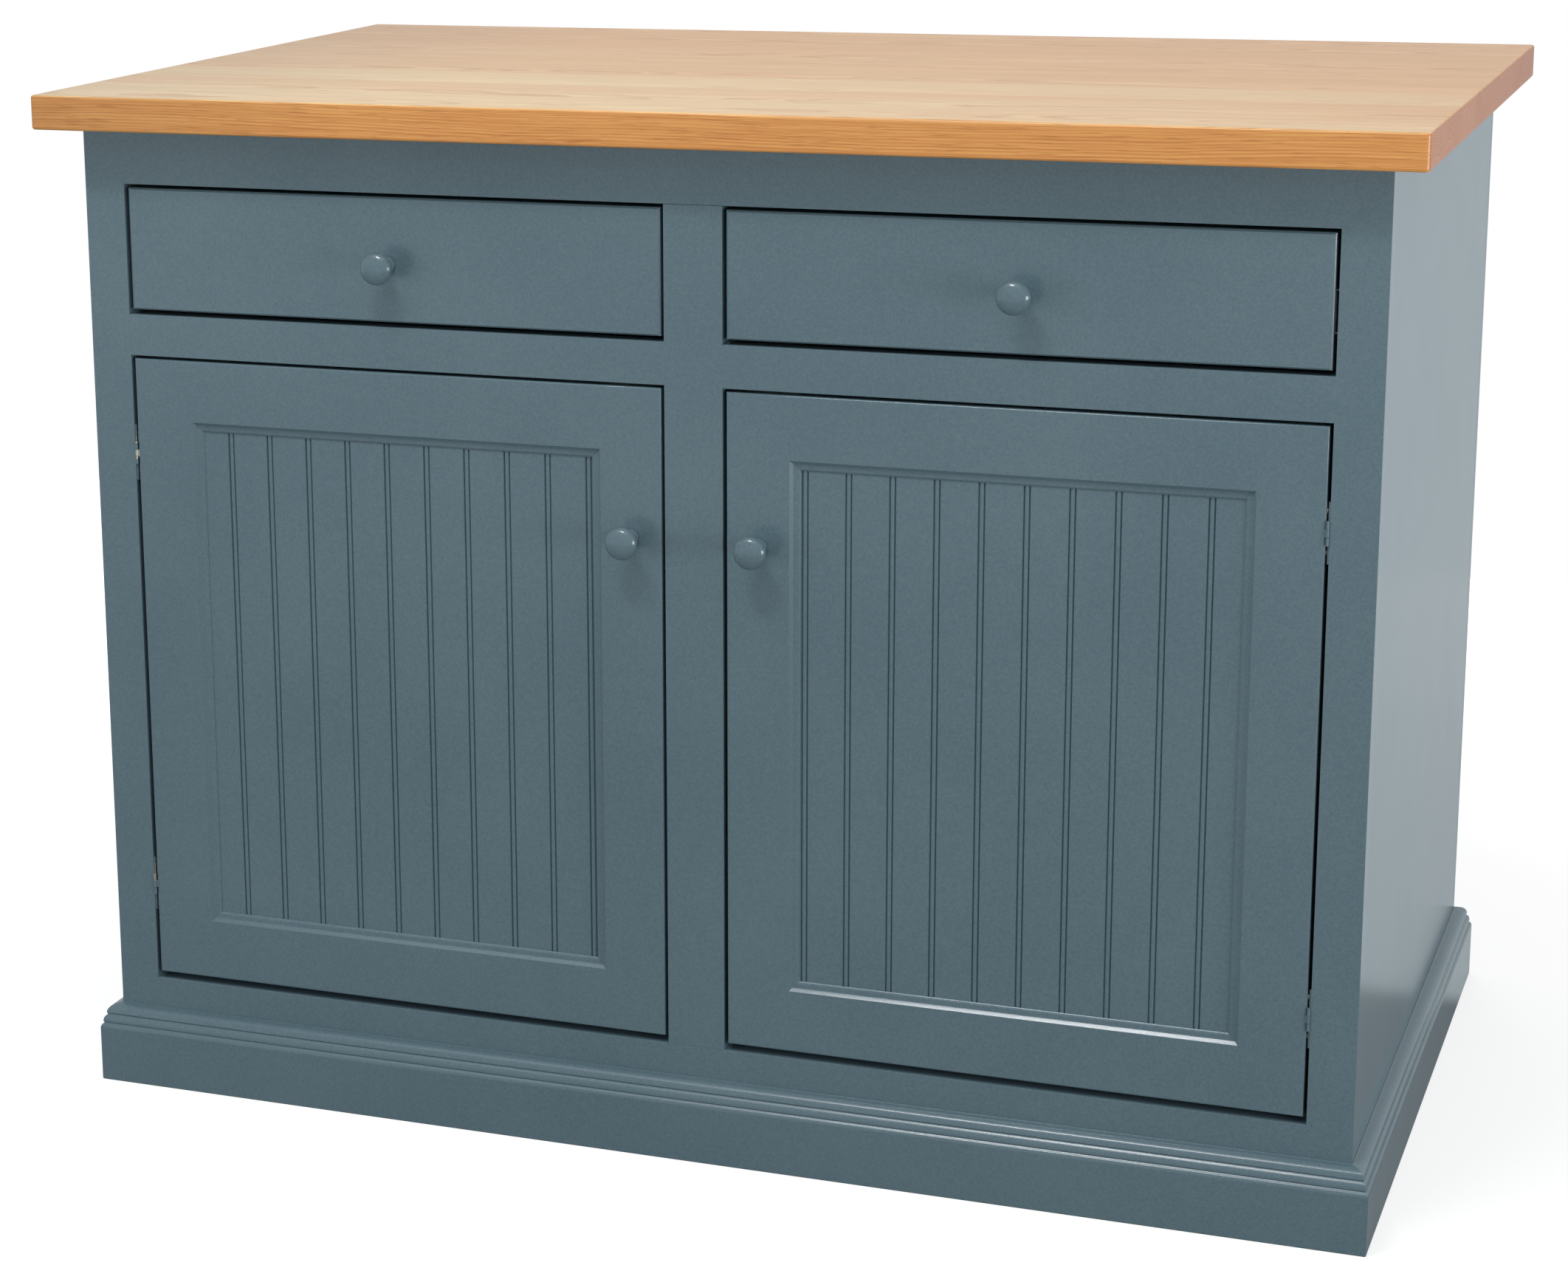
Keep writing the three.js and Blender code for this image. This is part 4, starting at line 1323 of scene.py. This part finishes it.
PANEL_THICKNESS = 18 * MM
PIN_RADIUS = 2.45 * MM
PEG_SIDES = 20
PEG_LENGTH = 6 * MM
PEG_MIDDLE = -1.5 * MM
PEG_DOWN = 0.4 * MM
PIN_SPOON = (9 * MM, 10 * MM, 1.8 * MM)
SPOON_FROM_WALL = 0.3 * MM
PIN_EDGE = 0.4 * MM


def pin_model(material):
    """A peg along X with a flat spoon that a shelf rests on; its wall is at the origin, +X out."""
    deselect()
    bpy.ops.mesh.primitive_cylinder_add(
        vertices=PEG_SIDES, radius=PIN_RADIUS, depth=PEG_LENGTH, rotation=(0, math.pi / 2, 0),
        location=(PEG_MIDDLE, 0, -PIN_RADIUS - PEG_DOWN))
    peg = bpy.context.object
    bpy.ops.mesh.primitive_cube_add(size=1)
    spoon = bpy.context.object
    spoon.scale = PIN_SPOON
    spoon.location = (PIN_SPOON[0] / 2 + SPOON_FROM_WALL, 0, -PIN_SPOON[2] / 2)
    pick(spoon, peg)
    bpy.ops.object.transform_apply(location=True, rotation=True, scale=True)
    for part in (peg, spoon):
        pick(part)
        eased = part.modifiers.new("eased", "BEVEL")
        eased.width = PIN_EDGE
        eased.segments = 2
        eased.limit_method = "ANGLE"
        bpy.ops.object.modifier_apply(modifier="eased")
    pin = joined([spoon, peg])
    clean()
    pin.name = "pin_model"
    give_finish(pin, material)
    return pin


def add_shelf_pins(material):
    model = pin_model(material)
    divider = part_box("centre_divider")
    for shelf, side in SIDES.items():
        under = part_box(f"shelf_{shelf}")[0].z
        inner_wall = divider[0].x if side < 0 else divider[1].x
        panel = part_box(f"side_{shelf}")
        outer_wall = panel[0].x + PANEL_THICKNESS if side < 0 else panel[1].x - PANEL_THICKNESS
        turns = []
        for row in PIN_ROWS:
            for wall, out in ((inner_wall, side), (outer_wall, -side)):
                about = Matrix.Rotation(0 if out > 0 else math.pi, 4, "Z")
                turns.append(Matrix.Translation((wall, row, under)) @ about)
        copies(model, turns, f"shelf_{shelf}_pins", "cabinet")
    put_away(model)


# ---------------------------------------------------------------- magnetic catches

CATCH_WIDTH = 44 * MM
CATCH_DEPTH = 13 * MM
CATCH_HEIGHT = 15 * MM
CATCH_ABOVE_DOOR = 1 * MM
CATCH_FROM_MIDDLE = 62 * MM
CATCH_FROM_STRIKE = 0.3 * MM
CATCH_EDGE = 0.8 * MM
CATCH_TAB_DEPTH = CATCH_DEPTH + 1.5 * MM
CATCH_TAB_HEIGHT = 13 * MM
CATCH_SCREW_ASIDE = (-14 * MM, 14 * MM)
CATCH_SCREW_TWIST = 40
POLE = (CATCH_WIDTH - 8 * MM, 1.6 * MM, 1.6 * MM)
POLE_FROM_STRIKE = 0.85 * MM
POLE_DOWN = (5 * MM, 10 * MM)
POLE_EDGE = 0.2 * MM
STRIKE = (38 * MM, 1.2 * MM, 12 * MM)
STRIKE_DOWN = 7.5 * MM
STRIKE_EDGE = 0.3 * MM


def eased_block(size, place, ease):
    """A block with rounded edges."""
    deselect()
    bpy.ops.mesh.primitive_cube_add(size=1, location=place)
    block = bpy.context.object
    block.scale = size
    bpy.ops.object.transform_apply(location=True, rotation=True, scale=True)
    bpy.ops.object.mode_set(mode="EDIT")
    bpy.ops.mesh.select_all(action="SELECT")
    bpy.ops.mesh.bevel(offset=ease, segments=3, affect="EDGES")
    bpy.ops.object.mode_set(mode="OBJECT")
    return block


def join_pieces(pieces, name, material, body):
    piece = joined(pieces)
    clean()
    give_finish(piece, material)
    return declare(piece, name, body)


def add_catch(door, side, finishes, screw):
    """A magnet case behind the mid rail, and the plate it holds on the back of the door."""
    rail_low, rail_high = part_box(f"frame_{door}_mid_rail")
    door_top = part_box(f"{door}_door_top_rail")[1].z
    x = side * CATCH_FROM_MIDDLE
    back = rail_high.y
    strike_back = back + STRIKE[1]
    case_middle = strike_back + CATCH_FROM_STRIKE + CATCH_DEPTH / 2
    tab_middle = rail_low.z + CATCH_TAB_HEIGHT / 2
    case = eased_block(
        (CATCH_WIDTH, CATCH_DEPTH, CATCH_HEIGHT),
        (x, case_middle, door_top - CATCH_HEIGHT / 2 + CATCH_ABOVE_DOOR), CATCH_EDGE)
    tab = eased_block(
        (CATCH_WIDTH, CATCH_TAB_DEPTH, CATCH_TAB_HEIGHT),
        (x, back + CATCH_TAB_DEPTH / 2, tab_middle), CATCH_EDGE)
    join_pieces([case, tab], f"{door}_magnetic_catch", finishes["plastic"], "cabinet")
    poles = [
        eased_block(POLE, (x, strike_back + POLE_FROM_STRIKE, door_top - down), POLE_EDGE)
        for down in POLE_DOWN
    ]
    join_pieces(poles, f"{door}_catch_poles", finishes["zinc"], "cabinet")
    strike = eased_block(STRIKE, (x, back + STRIKE[1] / 2, door_top - STRIKE_DOWN), STRIKE_EDGE)
    join_pieces([strike], f"{door}_catch_strike", finishes["zinc"], f"{door}_door")
    heads = [
        facing("+Y", (x + aside, back + CATCH_TAB_DEPTH, tab_middle), aside * CATCH_SCREW_TWIST)
        for aside in CATCH_SCREW_ASIDE
    ]
    copies(screw, heads, f"{door}_catch_screws", "cabinet")


# ---------------------------------------------------------------- putting it together


def main():
    bpy.context.scene.view_settings.view_transform = "Standard"
    add_camera()
    add_world()
    add_floor()
    add_lamps()
    finishes = make_finishes()
    dress_cad(finishes)
    add_knobs(finishes["knob_paint"])
    hinge_screw = screw_model("hinge_screw_model", *HINGE_SCREW, finishes["nickel"])
    pan_screw = screw_model("pan_screw_model", *PAN_SCREW, finishes["zinc"])
    add_hinge_screws(hinge_screw)
    add_knob_screws(pan_screw)
    add_runner_screws(pan_screw)
    add_ball_cages(finishes)
    add_shelf_pins(finishes["nickel"])
    for door, side in SIDES.items():
        add_catch(door, side, finishes, pan_screw)
    put_away(hinge_screw, pan_screw)


main()
